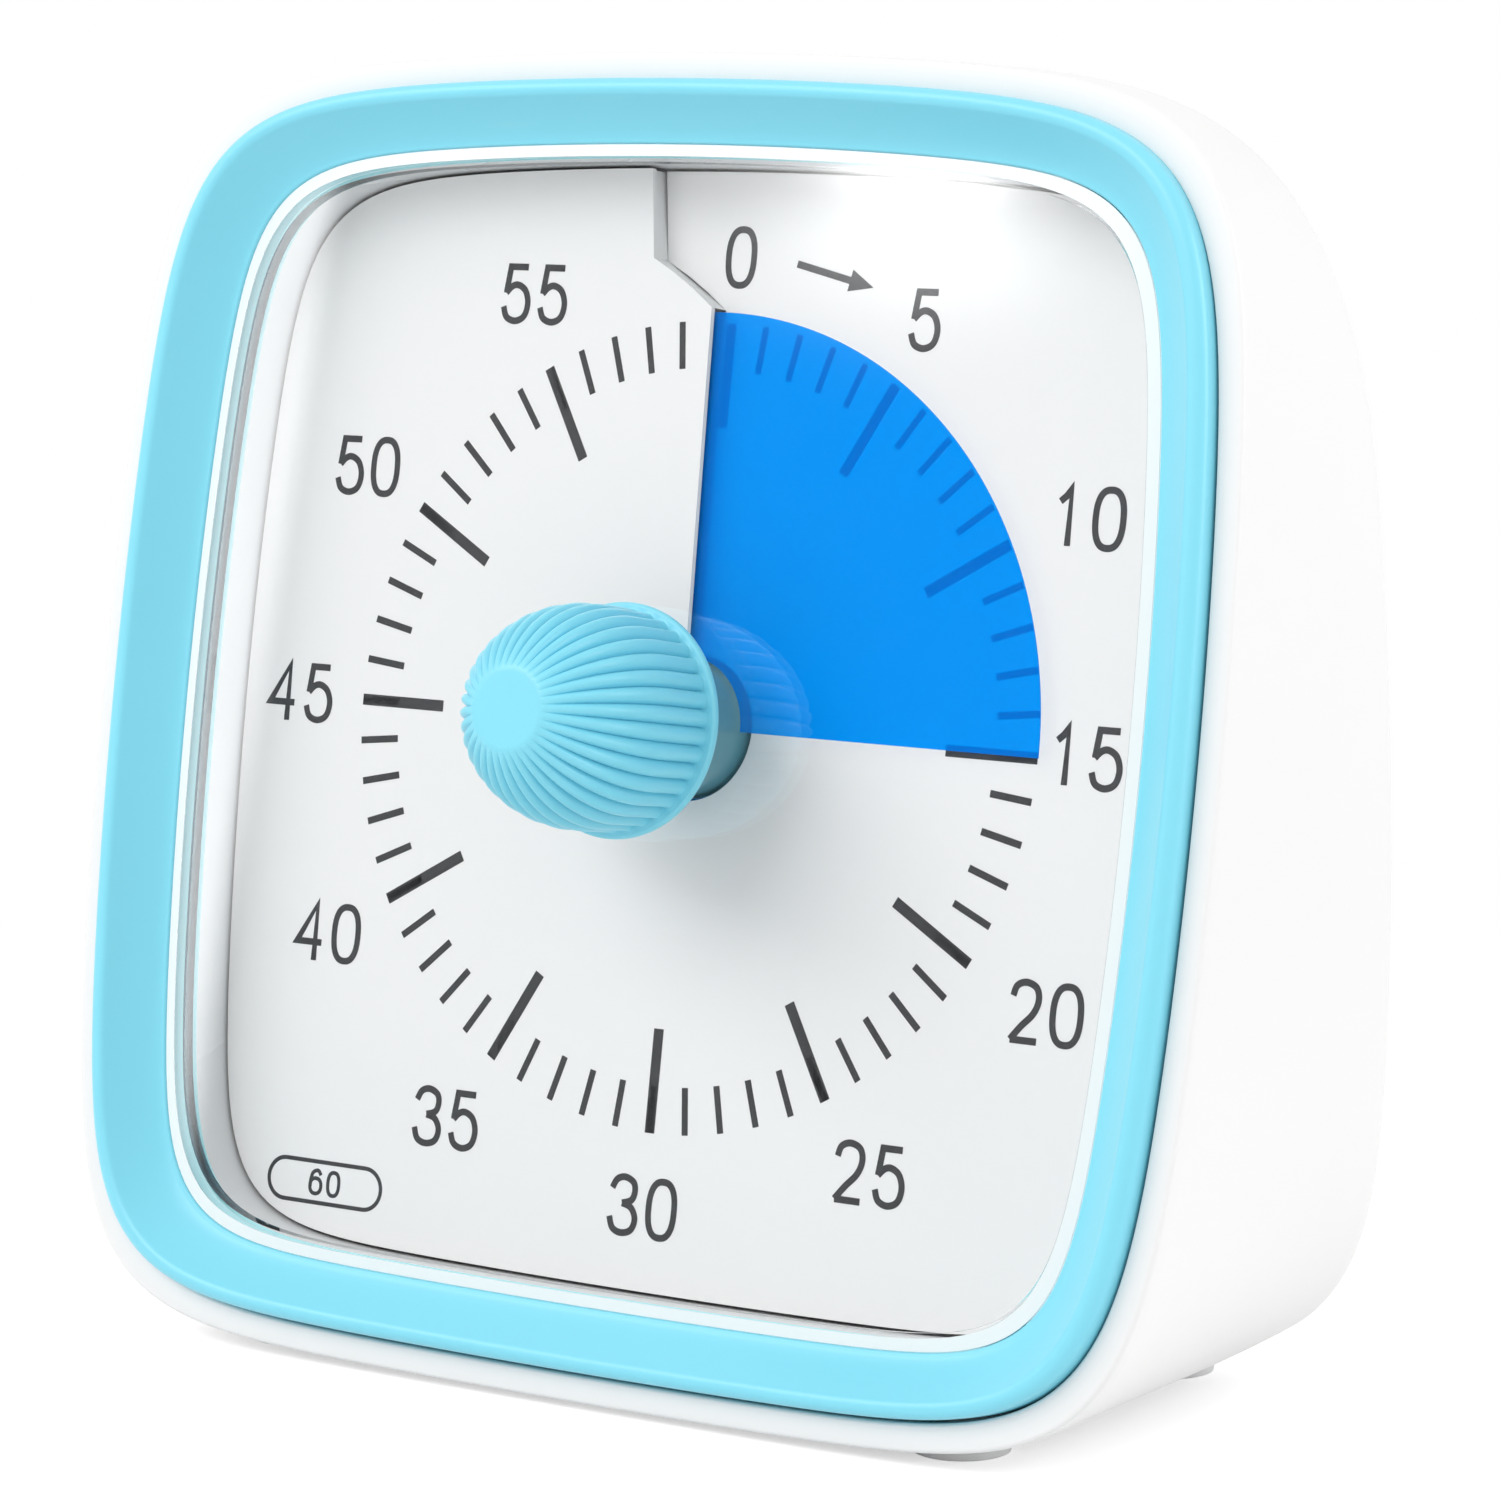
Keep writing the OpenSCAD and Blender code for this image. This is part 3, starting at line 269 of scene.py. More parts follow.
class Front:
    """Outlines and heights of the bezel, the window and the frame, in the dial frame."""

    LENS_PROUD = 0.1 * MM  # lens's face in front of the window's edge
    FLANGE_DROP = 1.7 * MM  # lens's flange behind the window's edge
    FLANGE_THICK = 1.5 * MM
    SEAT_DROP = 1.6 * MM  # bezel's seat behind the housing's front lip
    SKIRT = 5.2 * MM  # bezel's skirt behind its seat

    def __init__(self, scene):
        h, f = scene.timer_housing, scene.timer_front
        self.sizes = f
        self.bows = (h.side_bow, h.roof_bow, h.base_bow)
        self.bezel_w = h.width - 2 * (h.wall + f.bezel_clear)
        self.bezel_h = (h.height - 2 * h.wall) / math.cos(LEAN) - 2 * f.bezel_clear
        self.window_w = self.bezel_w - 2 * f.band_side
        self.window_h = self.bezel_h - 2 * f.band_top
        self.bezel_top = f.dial_sink + f.bezel_proud
        self.window_front = self.bezel_top - f.bezel_dish
        self.lens_top = self.window_front + self.LENS_PROUD
        self.flange_top = self.window_front - self.FLANGE_DROP
        self.flange_bottom = self.flange_top - self.FLANGE_THICK
        self.seat = f.dial_sink - self.SEAT_DROP
        self.skirt_bottom = self.seat - self.SKIRT

    def bezel(self, f, z):
        """Outline between the bezel's outside at f = 0 and the window at f = 1."""
        s = self.sizes
        points = outline(mix(self.bezel_w, self.window_w, f) / 2,
                         mix(self.bezel_h, self.window_h, f) / 2,
                         mix(s.bezel_square, s.window_square, f), self.bows)
        return [Vector((x, y - s.window_drop, z)) for x, y in points]

    def window(self, out, z):
        """Outline of the window, grown by out."""
        s = self.sizes
        points = outline(self.window_w / 2 + out, self.window_h / 2 + out, s.window_square,
                         self.bows)
        return [Vector((x, y - s.window_drop, z)) for x, y in points]

    def windows(self, *places):
        """Outlines of the window at pairs of growth and height."""
        return [self.window(out, z) for out, z in places]


# ---- Mesh tools ----


WELD, SPECK = 1e-6, 1e-7  # metres within which points join and edges vanish


def mesh_object(name, bm):
    """A new object at the origin that holds the bmesh."""
    mesh = bpy.data.meshes.new(name)
    bm.to_mesh(mesh)
    bm.free()
    obj = bpy.data.objects.new(name, mesh)
    bpy.context.scene.collection.objects.link(obj)
    return obj


def loft(rings, closed=False):
    """A bmesh skin over rings of as many points each, closed on itself or with end caps."""
    bm = bmesh.new()
    rows = [[bm.verts.new(p) for p in ring] for ring in rings]
    for low, high in zip(rows, rows[1:] + rows[:1] if closed else rows[1:]):
        for k in range(len(low)):
            n = (k + 1) % len(low)
            bm.faces.new((low[k], low[n], high[n], high[k]))
    if not closed:
        bm.faces.new(rows[0][::-1])
        bm.faces.new(rows[-1])
    bmesh.ops.recalc_face_normals(bm, faces=bm.faces)
    return bm


def circle(radius, z, count, centre=(0, 0)):
    """Points round a circle at a height."""
    turns = [2 * math.pi * k / count for k in range(count)]
    return [Vector((centre[0] + radius * math.cos(t), centre[1] + radius * math.sin(t), z))
            for t in turns]


def rounding(*degrees):
    """What a quarter round still lacks along and across at each angle, as shares."""
    return [(1 - math.sin(math.radians(a)), 1 - math.cos(math.radians(a))) for a in degrees]


def on_dial(bm):
    """Moves a bmesh from the dial frame to its place."""
    bmesh.ops.transform(bm, matrix=DIAL, verts=bm.verts)
    return bm


def box_mesh(low, high):
    """A bmesh box between two corners."""
    bm = bmesh.new()
    bmesh.ops.create_cube(bm, size=1)
    for v in bm.verts:
        v.co = Vector(mix(low[i], high[i], v.co[i] + 0.5) for i in range(3))
    return bm


def merged_copy(node):
    """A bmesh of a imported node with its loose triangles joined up."""
    bm = bmesh.new()
    bm.from_mesh(frame["nodes"][node].data)
    bmesh.ops.remove_doubles(bm, verts=bm.verts, dist=WELD)
    bmesh.ops.dissolve_degenerate(bm, edges=bm.edges, dist=SPECK)
    return bm


def combine(name, base, others, operation):
    """One object from a bmesh and others, joined, cut or crossed."""
    obj = mesh_object(name, base)
    for other in others:
        tool = mesh_object(name + "_tool", other)
        modifier = obj.modifiers.new(operation, "BOOLEAN")
        modifier.operation = operation
        modifier.solver = "EXACT"
        modifier.object = tool
        settle(obj)
        bpy.data.objects.remove(tool)
    return obj


def settle(obj):
    """Turns the object's modifiers into plain mesh."""
    bpy.context.view_layer.update()
    depsgraph = bpy.context.evaluated_depsgraph_get()
    mesh = bpy.data.meshes.new_from_object(obj.evaluated_get(depsgraph))
    obj.modifiers.clear()
    old = obj.data
    obj.data = mesh
    bpy.data.meshes.remove(old)
    mesh.name = obj.name


def as_bmesh(obj):
    """Takes an object's mesh out as a bmesh and removes the object."""
    bm = bmesh.new()
    bm.from_mesh(obj.data)
    mesh = obj.data
    bpy.data.objects.remove(obj)
    bpy.data.meshes.remove(mesh)
    return bm


def smooth(obj, degrees=32):
    """Smooth shading with creases where faces meet at more than this angle."""
    mesh = obj.data
    mesh.polygons.foreach_set("use_smooth", [True] * len(mesh.polygons))
    mesh.set_sharp_from_angle(angle=math.radians(degrees))
    mesh.update()


def soften(obj, width):
    """Rounds the object's sharp edges a little, with width the rounding's size."""
    modifier = obj.modifiers.new("Soft edges", "BEVEL")
    modifier.width = width
    modifier.segments = 2
    modifier.limit_method = "ANGLE"
    modifier.angle_limit = math.radians(40)
    settle(obj)


def finish(obj, body, slot, material, *nodes):
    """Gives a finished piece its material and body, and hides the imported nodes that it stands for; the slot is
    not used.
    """
    obj.data.materials.clear()
    obj.data.materials.append(material)
    if nodes:
        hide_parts(*nodes)
    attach(obj, body)
    return obj


def body_of_node(node):
    """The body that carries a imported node."""
    bodies = frame["record"]["behaviour"]["bodies"]
    return next(body for body, nodes in bodies.items() if node in nodes)


def slot_of_node(node):
    """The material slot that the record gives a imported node."""
    parts = frame["record"]["subparts"]
    return next(part["material_slot"] for part in parts if part["node"] == node)


# ---- Node trees ----


class Term:
    """A number inside a node tree, so that a formula reads as it does in plain code."""

    def __init__(self, nodes, socket):
        self.nodes = nodes
        self.socket = socket

    def __add__(self, other):
        return self.nodes.math("ADD", self, other)

    def __sub__(self, other):
        return self.nodes.math("SUBTRACT", self, other)

    def __rsub__(self, other):
        return self.nodes.math("SUBTRACT", other, self)

    def __mul__(self, other):
        return self.nodes.math("MULTIPLY", self, other)

    def __truediv__(self, other):
        return self.nodes.math("DIVIDE", self, other)

    def __rtruediv__(self, other):
        return self.nodes.math("DIVIDE", other, self)

    def __pow__(self, other):
        return self.nodes.math("POWER", self, other)


class Nodes:
    """A node tree built in steps."""

    def __init__(self, tree):
        self.tree = tree

    def node(self, kind, inputs=(), **settings):
        """Adds a node, sets it up and fills its inputs with values or links."""
        made = self.tree.nodes.new(kind)
        for key, value in settings.items():
            setattr(made, key, value)
        for key, value in dict(inputs).items():
            self.put(value, made.inputs[key])
        return made

    def put(self, value, socket):
        """Links a term, a socket or a node's first output, or sets a plain value."""
        if isinstance(value, Term):
            value = value.socket
        elif isinstance(value, bpy.types.Node):
            value = value.outputs[0]
        if isinstance(value, bpy.types.NodeSocket):
            self.tree.links.new(value, socket)
        else:
            socket.default_value = value

    def term(self, kind, inputs=(), **settings):
        """A new node's first output, for use in a formula."""
        return Term(self, self.node(kind, inputs, **settings).outputs[0])

    def math(self, operation, a, b=0.0):
        """A Math node's result."""
        return self.term("ShaderNodeMath", {0: a, 1: b}, operation=operation)

    def split(self, vector):
        """The three parts of a vector."""
        return [Term(self, part)
                for part in self.node("ShaderNodeSeparateXYZ", {0: vector}).outputs]

    def vector(self, x=0.0, y=0.0, z=0.0):
        """A vector from its three parts."""
        return self.node("ShaderNodeCombineXYZ", {"X": x, "Y": y, "Z": z})

    def ramp(self, value, start, stop, low=0.0, high=1.0, **settings):
        """Goes from low to high while value goes from start to stop."""
        return self.term("ShaderNodeMapRange", {
            "Value": value, "From Min": start, "From Max": stop, "To Min": low,
            "To Max": high}, **settings)

    def mixed(self, mask, first, second):
        """The first colour where the mask is 0, the second where it is 1."""
        return self.node("ShaderNodeMix", {"Factor": mask, 6: first, 7: second},
                         data_type="RGBA").outputs[2]

    def noise(self, where, scale, detail, roughness):
        """Cloudy noise between 0 and 1."""
        return self.term("ShaderNodeTexNoise", {
            "Vector": where, "Scale": scale, "Detail": detail, "Roughness": roughness})


class Tree(Nodes):
    """A Geometry Nodes tree with named inputs."""

    def __init__(self, name, inputs=(), takes_geometry=False):
        super().__init__(bpy.data.node_groups.new(name, "GeometryNodeTree"))
        face = self.tree.interface
        face.new_socket(name="Geometry", in_out="OUTPUT", socket_type="NodeSocketGeometry")
        if takes_geometry:
            face.new_socket(name="Geometry", in_out="INPUT", socket_type="NodeSocketGeometry")
        for socket in inputs:
            face.new_socket(name=socket, in_out="INPUT", socket_type="NodeSocketFloat")
        self.source = self.node("NodeGroupInput").outputs
        self.sink = self.node("NodeGroupOutput").inputs

    def __getitem__(self, name):
        """The tree's input of that name."""
        return Term(self, self.source[name])

    def position(self):
        """The three coordinates of each point."""
        return self.split(self.node("GeometryNodeInputPosition"))

    def close(self, geometry, material):
        """Ends the tree in Realize Instances and Set Material."""
        real = self.node("GeometryNodeRealizeInstances", {0: geometry})
        paint = self.node("GeometryNodeSetMaterial", {"Geometry": real, "Material": material})
        self.put(paint, self.sink[0])


def grow(name, tree, values, mesh=None):
    """The plain bmesh that a tree makes with these input values."""
    holder = bpy.data.objects.new(name, mesh or bpy.data.meshes.new(name))
    bpy.context.scene.collection.objects.link(holder)
    modifier = holder.modifiers.new(name, "NODES")
    modifier.node_group = tree.tree
    for item in modifier.node_group.interface.items_tree:
        if item.in_out == "INPUT" and item.name in values:
            modifier[item.identifier] = values[item.name]
    settle(holder)
    return as_bmesh(holder)


def marks_tree(material):
    """Marks on a circle, each a thin bar laid on the climbing dial."""
    tree = Tree("Minute marks", ("Count", "Skip", "Outer radius", "Length", "Width", "Ink",
                                 "Pitch", "Cut"))
    count = tree.math("ROUND", tree["Count"])
    points = tree.node("GeometryNodePoints", {"Count": count})
    index = tree.term("GeometryNodeInputIndex")
    turned = index / count
    bearing = math.pi / 2 - turned * (2 * math.pi)
    middle = tree["Outer radius"] - tree["Length"] / 2.0
    place = tree.vector(middle * tree.math("COSINE", bearing),
                        middle * tree.math("SINE", bearing),
                        (turned + tree["Cut"] / (2 * math.pi)) * tree["Pitch"])
    placed = tree.node("GeometryNodeSetPosition", {"Geometry": points, "Position": place})
    kept = tree.node("FunctionNodeCompare",
                     {0: tree.math("MODULO", index, tree["Skip"]), 1: 0.5},
                     data_type="FLOAT", operation="LESS_THAN")
    size = tree.vector(tree["Length"], tree["Width"], tree["Ink"])
    bar = tree.node("GeometryNodeMeshCube", {"Size": size})
    marks = tree.node("GeometryNodeInstanceOnPoints", {
        "Points": placed, "Selection": kept, "Instance": bar,
        "Rotation": tree.vector(z=bearing)})
    tree.close(marks, material)
    return tree


RIB_POWER = 0.7  # below 1, the grooves between the ribs are narrow and sharp


def ribs_tree(material):
    """Presses sharp grooves into a smooth knob wherever its groove attribute says."""
    tree = Tree("Knob ribs", ("Ribs", "Depth"), takes_geometry=True)
    x, y, _ = tree.position()
    bearing = tree.math("ARCTAN2", y, x)
    wave = tree.math("SINE", tree["Ribs"] / 2.0 * bearing)
    valley = 1.0 - tree.math("ABSOLUTE", wave) ** RIB_POWER
    groove = tree.term("GeometryNodeInputNamedAttribute", {"Name": "groove"},
                       data_type="FLOAT")
    inward = valley * tree["Depth"] * groove * -1.0
    shift = tree.vector(tree.math("COSINE", bearing) * inward,
                        tree.math("SINE", bearing) * inward)
    pressed = tree.node("GeometryNodeSetPosition",
                        {"Geometry": tree["Geometry"], "Offset": shift})
    tree.close(pressed, material)
    return tree


def slots_tree(material):
    """A column of round-ended slots that fills a circle, as solid cutters."""
    tree = Tree("Sound slots", ("Count", "Step", "Circle radius", "Slot width", "Depth"))
    count = tree.math("ROUND", tree["Count"])
    points = tree.node("GeometryNodePoints", {"Count": count})
    up = (tree.term("GeometryNodeInputIndex") - (count - 1.0) / 2.0) * tree["Step"]
    placed = tree.node("GeometryNodeSetPosition",
                       {"Geometry": points, "Position": tree.vector(y=up)})
    radius = tree["Slot width"] / 2.0
    disc = tree.node("GeometryNodeMeshCylinder",
                     {"Vertices": 32, "Radius": radius, "Depth": tree["Depth"]})
    laid = tree.node("GeometryNodeInstanceOnPoints", {"Points": placed, "Instance": disc})
    real = tree.node("GeometryNodeRealizeInstances", {0: laid})
    # Each half of a disc moves out along its row until it meets the circle
    x, y, _ = tree.position()
    row = tree.math("ROUND", y / tree["Step"]) * tree["Step"]
    chord = tree.math("SQRT", tree["Circle radius"] ** 2.0 - row ** 2.0)
    stretch = tree.vector(tree.math("SIGN", x) * (chord - radius))
    slots = tree.node("GeometryNodeSetPosition", {"Geometry": real, "Offset": stretch})
    tree.close(slots, material)
    return tree


# Shares of a sheet's rows that end at the cut's bend and at the cut's outer end
BEND_ROWS, SIDE_ROWS = 0.7, 0.85


def sheet_tree(material):
    """A sheet that climbs like a spiral stair between an inner edge and an outer edge."""
    tree = Tree("Spiral sheet", ("Steps", "Rows", "From", "To", "Pitch", "Base", "Thickness",
                                 "Inner radius", "Bend radius", "Wall side",
                                 "Cut inner", "Cut outer", "Wall width", "Wall height",
                                 "Wall squareness", "Side bow", "Roof bow", "Base bow",
                                 "Wall drop", "To wall"))
    grid = tree.node("GeometryNodeMeshGrid", {
        "Size X": 1.0, "Size Y": 1.0, "Vertices X": tree.math("ROUND", tree["Steps"]),
        "Vertices Y": tree.math("ROUND", tree["Rows"])})
    x, y, _ = tree.position()
    along, across = x + 0.5, y + 0.5

    def limited(value):
        return tree.term("ShaderNodeClamp", {"Value": value})

    def step(start, stop, share):
        return start + share * (stop - start)

    def squared_part(part, half):
        return (tree.math("ABSOLUTE", part) / half) ** tree["Wall squareness"]

    def bowed(reach, bow, other, half):
        ratio = (tree.math("ABSOLUTE", other) / half) ** 2.0
        return reach * (1.0 - bow * ratio)

    to_bend = limited(across / BEND_ROWS)
    to_side = limited((across - BEND_ROWS) / (SIDE_ROWS - BEND_ROWS))
    to_wall = limited((across - SIDE_ROWS) / (1 - SIDE_ROWS)) * tree["To wall"]
    turns = step(tree["From"], tree["To"], along)
    swing = step(tree["Cut inner"], tree["Cut outer"], to_side)
    bearing = swing + math.pi / 2 - turns * (2 * math.pi)
    cosine, sine = tree.math("COSINE", bearing), tree.math("SINE", bearing)
    half_w, half_h = tree["Wall width"], tree["Wall height"]
    wall = ((squared_part(cosine, half_w) + squared_part(sine, half_h))
            ** (-1.0 / tree["Wall squareness"]))
    wall_x, wall_y = wall * cosine, wall * sine
    above = tree.math("GREATER_THAN", wall_y, 0.0)
    end_bow = step(tree["Base bow"], tree["Roof bow"], above)
    edge_x = bowed(wall_x, tree["Side bow"], wall_y, half_h)
    edge_y = bowed(wall_y, end_bow, wall_x, half_w) - tree["Wall drop"]
    radius = step(tree["Inner radius"], tree["Bend radius"], to_bend)
    radius = step(radius, tree["Wall side"], to_side)
    place = tree.vector(step(radius * cosine, edge_x, to_wall),
                        step(radius * sine, edge_y, to_wall),
                        tree["Base"] + turns * tree["Pitch"])
    under = tree.node("GeometryNodeSetPosition", {"Geometry": grid, "Position": place})
    solid = tree.node("GeometryNodeExtrudeMesh", {
        "Mesh": under, "Offset": tree.vector(z=tree["Thickness"]), "Offset Scale": 1.0,
        "Individual": False}, mode="FACES")
    flipped = tree.node("GeometryNodeFlipFaces", {0: under})
    whole = tree.node("GeometryNodeJoinGeometry")
    for side in (flipped, solid):
        tree.put(side, whole.inputs[0])
    sealed = tree.node("GeometryNodeMergeByDistance", {"Geometry": whole, "Distance": WELD})
    tree.close(sealed, material)
    return tree


# ---- Shared shader groups ----


GRAIN = "Moulded grain"
WEAR = "Wear and dust"
WHITE = (1, 1, 1, 1)


def shader_group(name, inputs, outputs):
    """An empty shader group with numbers as inputs and outputs, and its two ends."""
    group = bpy.data.node_groups.new(name, "ShaderNodeTree")
    for socket, value in inputs:
        made = group.interface.new_socket(name=socket, in_out="INPUT",
                                          socket_type="NodeSocketFloat")
        made.default_value = value
    for socket in outputs:
        group.interface.new_socket(name=socket, in_out="OUTPUT",
                                   socket_type="NodeSocketFloat")
    s = Nodes(group)
    return s, s.node("NodeGroupInput").outputs, s.node("NodeGroupOutput").inputs


def grain_group():
    """Fine moulded grain with slow, faint patches: a height and two masks."""
    s, source, sink = shader_group(GRAIN, (("Grain scale", 2600.0), ("Patch scale", 24.0)),
                                   ("Height", "Patches", "Specks"))
    where = s.node("ShaderNodeTexCoord").outputs["Object"]
    s.put(s.noise(where, source["Grain scale"], 2.0, 0.6), sink["Height"])
    s.put(s.noise(where, source["Patch scale"], 3.0, 0.55), sink["Patches"])
    specks = s.term("ShaderNodeTexVoronoi", {"Vector": where, "Scale": source["Grain scale"]},
                    feature="F1")
    s.put(specks, sink["Specks"])
    return s.tree


def wear_group():
    """Rubbed edges and dust on ledges: two masks."""
    s, source, sink = shader_group(WEAR, (("Edge", 0.5), ("Dust", 0.5)), ("Rubbed", "Dusty"))
    where = s.node("ShaderNodeTexCoord").outputs["Object"]
    shape = s.node("ShaderNodeNewGeometry").outputs
    edge = s.ramp(shape["Pointiness"], 0.52, 0.62)
    s.put(edge * s.noise(where, 90.0, 4.0, 0.65) * source["Edge"], sink["Rubbed"])
    upward = s.split(shape["Normal"])[2]
    motes = s.ramp(s.noise(where, 900.0, 2.0, 0.7), 0.5, 0.75)
    s.put(s.ramp(upward, 0.6, 1.0) * motes * source["Dust"], sink["Dusty"])
    return s.tree


def shared(s, name, build, inputs=()):
    """Outputs of a shared group in a material; the group is built when first asked for."""
    group = bpy.data.node_groups.get(name) or build()
    return s.node("ShaderNodeGroup", inputs, node_tree=group).outputs


# ---- Materials ----


def plain_material(name, rgb, alpha=1):
    """An empty material, its node tree and the socket that takes its shader."""
    material = bpy.data.materials.new(name)
    material.diffuse_color = (*rgb, alpha)
    material.use_nodes = True
    material.node_tree.nodes.clear()
    s = Nodes(material.node_tree)
    return material, s, s.node("ShaderNodeOutputMaterial").inputs["Surface"]


def scaled(rgb, factor):
    """A colour made lighter or darker."""
    return (*(min(1, c * factor) for c in rgb), 1)


def greyed(rgb, grey, share):
    """A colour a share of the way towards a grey."""
    return (*(mix(c, grey, share) for c in rgb), 1)


def coated(name, rgb, roughness=0.4, metallic=0.0, grain=0.02, grain_scale=2600.0,
           patch=0.03, rough_patch=0.08, coat=0.0, edge=0.3, dust=0.25):
    """A moulded, painted or metal finish: colour and roughness vary, grain stands up."""
    material, s, surface = plain_material(name, rgb)
    texture = shared(s, GRAIN, grain_group, {"Grain scale": grain_scale})
    worn = shared(s, WEAR, wear_group, {"Edge": edge, "Dust": dust})
    base = s.mixed(texture["Patches"], scaled(rgb, 1 - patch), scaled(rgb, 1 + patch * 0.6))
    rubbed = s.mixed(worn["Rubbed"], base, greyed(rgb, 0.8, 0.5))
    dusty = s.mixed(worn["Dusty"], rubbed, greyed(rgb, 0.5, 0.35))
    rough = s.ramp(texture["Patches"], 0.0, 1.0, max(0.02, roughness - rough_patch),
                   min(1.0, roughness + rough_patch))
    bump = s.node("ShaderNodeBump", {"Strength": 1.0, "Distance": grain * MM,
                                     "Height": texture["Height"]})
    shader = s.node("ShaderNodeBsdfPrincipled", {
        "Base Color": dusty, "Roughness": rough, "Metallic": metallic,
        "Coat Weight": coat, "Coat Roughness": 0.12, "Normal": bump})
    s.put(shader, surface)
    return material


def passing_light(s, shader, share=1.0):
    """Lets a share of lamp light and scattered light straight through a clear piece."""
    through = s.node("ShaderNodeBsdfTransparent", {"Color": WHITE})
    path = s.node("ShaderNodeLightPath").outputs
    light = s.math("MAXIMUM", path["Is Shadow Ray"], path["Is Diffuse Ray"])
    return s.node("ShaderNodeMixShader", {0: light * share, 1: shader, 2: through})


def clear_lens_material():
    """Polished clear plastic that lets the lamps through to the dial."""
    material, s, surface = plain_material("Clear lens", (0.9, 0.95, 1.0), 0.2)
    texture = shared(s, GRAIN, grain_group, {"Patch scale": 60.0})
    glass = s.node("ShaderNodeBsdfPrincipled", {
        "Base Color": (0.997, 0.999, 1.0, 1), "Transmission Weight": 1.0, "IOR": 1.49,
        "Roughness": s.ramp(texture["Patches"], 0.0, 1.0, 0.0, 0.02)})
    s.put(passing_light(s, glass), surface)
    return material


def frosted_material(colours):
    """White band on the lens's bevel, a painted highlight: white to the eye, yet light reaches the rim under it.
    """
    rgb = tuple(colours.frost)
    material, s, surface = plain_material("Lens bevel band, painted highlight", rgb)
    patches = shared(s, GRAIN, grain_group)["Patches"]
    frost = s.node("ShaderNodeBsdfPrincipled", {
        "Base Color": s.mixed(patches, scaled(rgb, 0.98), (*rgb, 1)),
        "Roughness": s.ramp(patches, 0.0, 1.0, 0.3, 0.4)})
    s.put(passing_light(s, frost, 0.85), surface)
    return material


# Shares of the light that pass each face of the film: all of it, and what the eye sees
FILM_PASSES, FILM_SHOWS = 0.95, 0.59


def film_material(colours):
    """Coloured film: part of the light is scattered blue, the rest passes tinted."""
    rgb = tuple(colours.film_body)
    material, s, surface = plain_material("Blue film", rgb, 0.7)
    patches = shared(s, GRAIN, grain_group, {"Grain scale": 1500.0})["Patches"]
    sheet = s.node("ShaderNodeBsdfPrincipled", {
        "Base Color": s.mixed(patches, scaled(rgb, 0.985), (*rgb, 1)),
        "Roughness": s.ramp(patches, 0.0, 1.0, 0.16, 0.2), "Specular IOR Level": 0.1})
    # Light from the lamps passes the film nearly whole; what is seen through it is veiled
    path = s.node("ShaderNodeLightPath").outputs
    seen = s.math("MAXIMUM", path["Is Camera Ray"], path["Is Transmission Ray"])
    seen = s.math("MAXIMUM", seen, path["Is Glossy Ray"])
    tint = s.node("ShaderNodeBsdfTransparent",
                  {"Color": s.mixed(seen, WHITE, (*colours.film_clear, 1))})
    clear = s.ramp(seen, 0.0, 1.0, FILM_PASSES, FILM_SHOWS)
    s.put(s.node("ShaderNodeMixShader", {0: clear, 1: sheet, 2: tint}), surface)
    return material


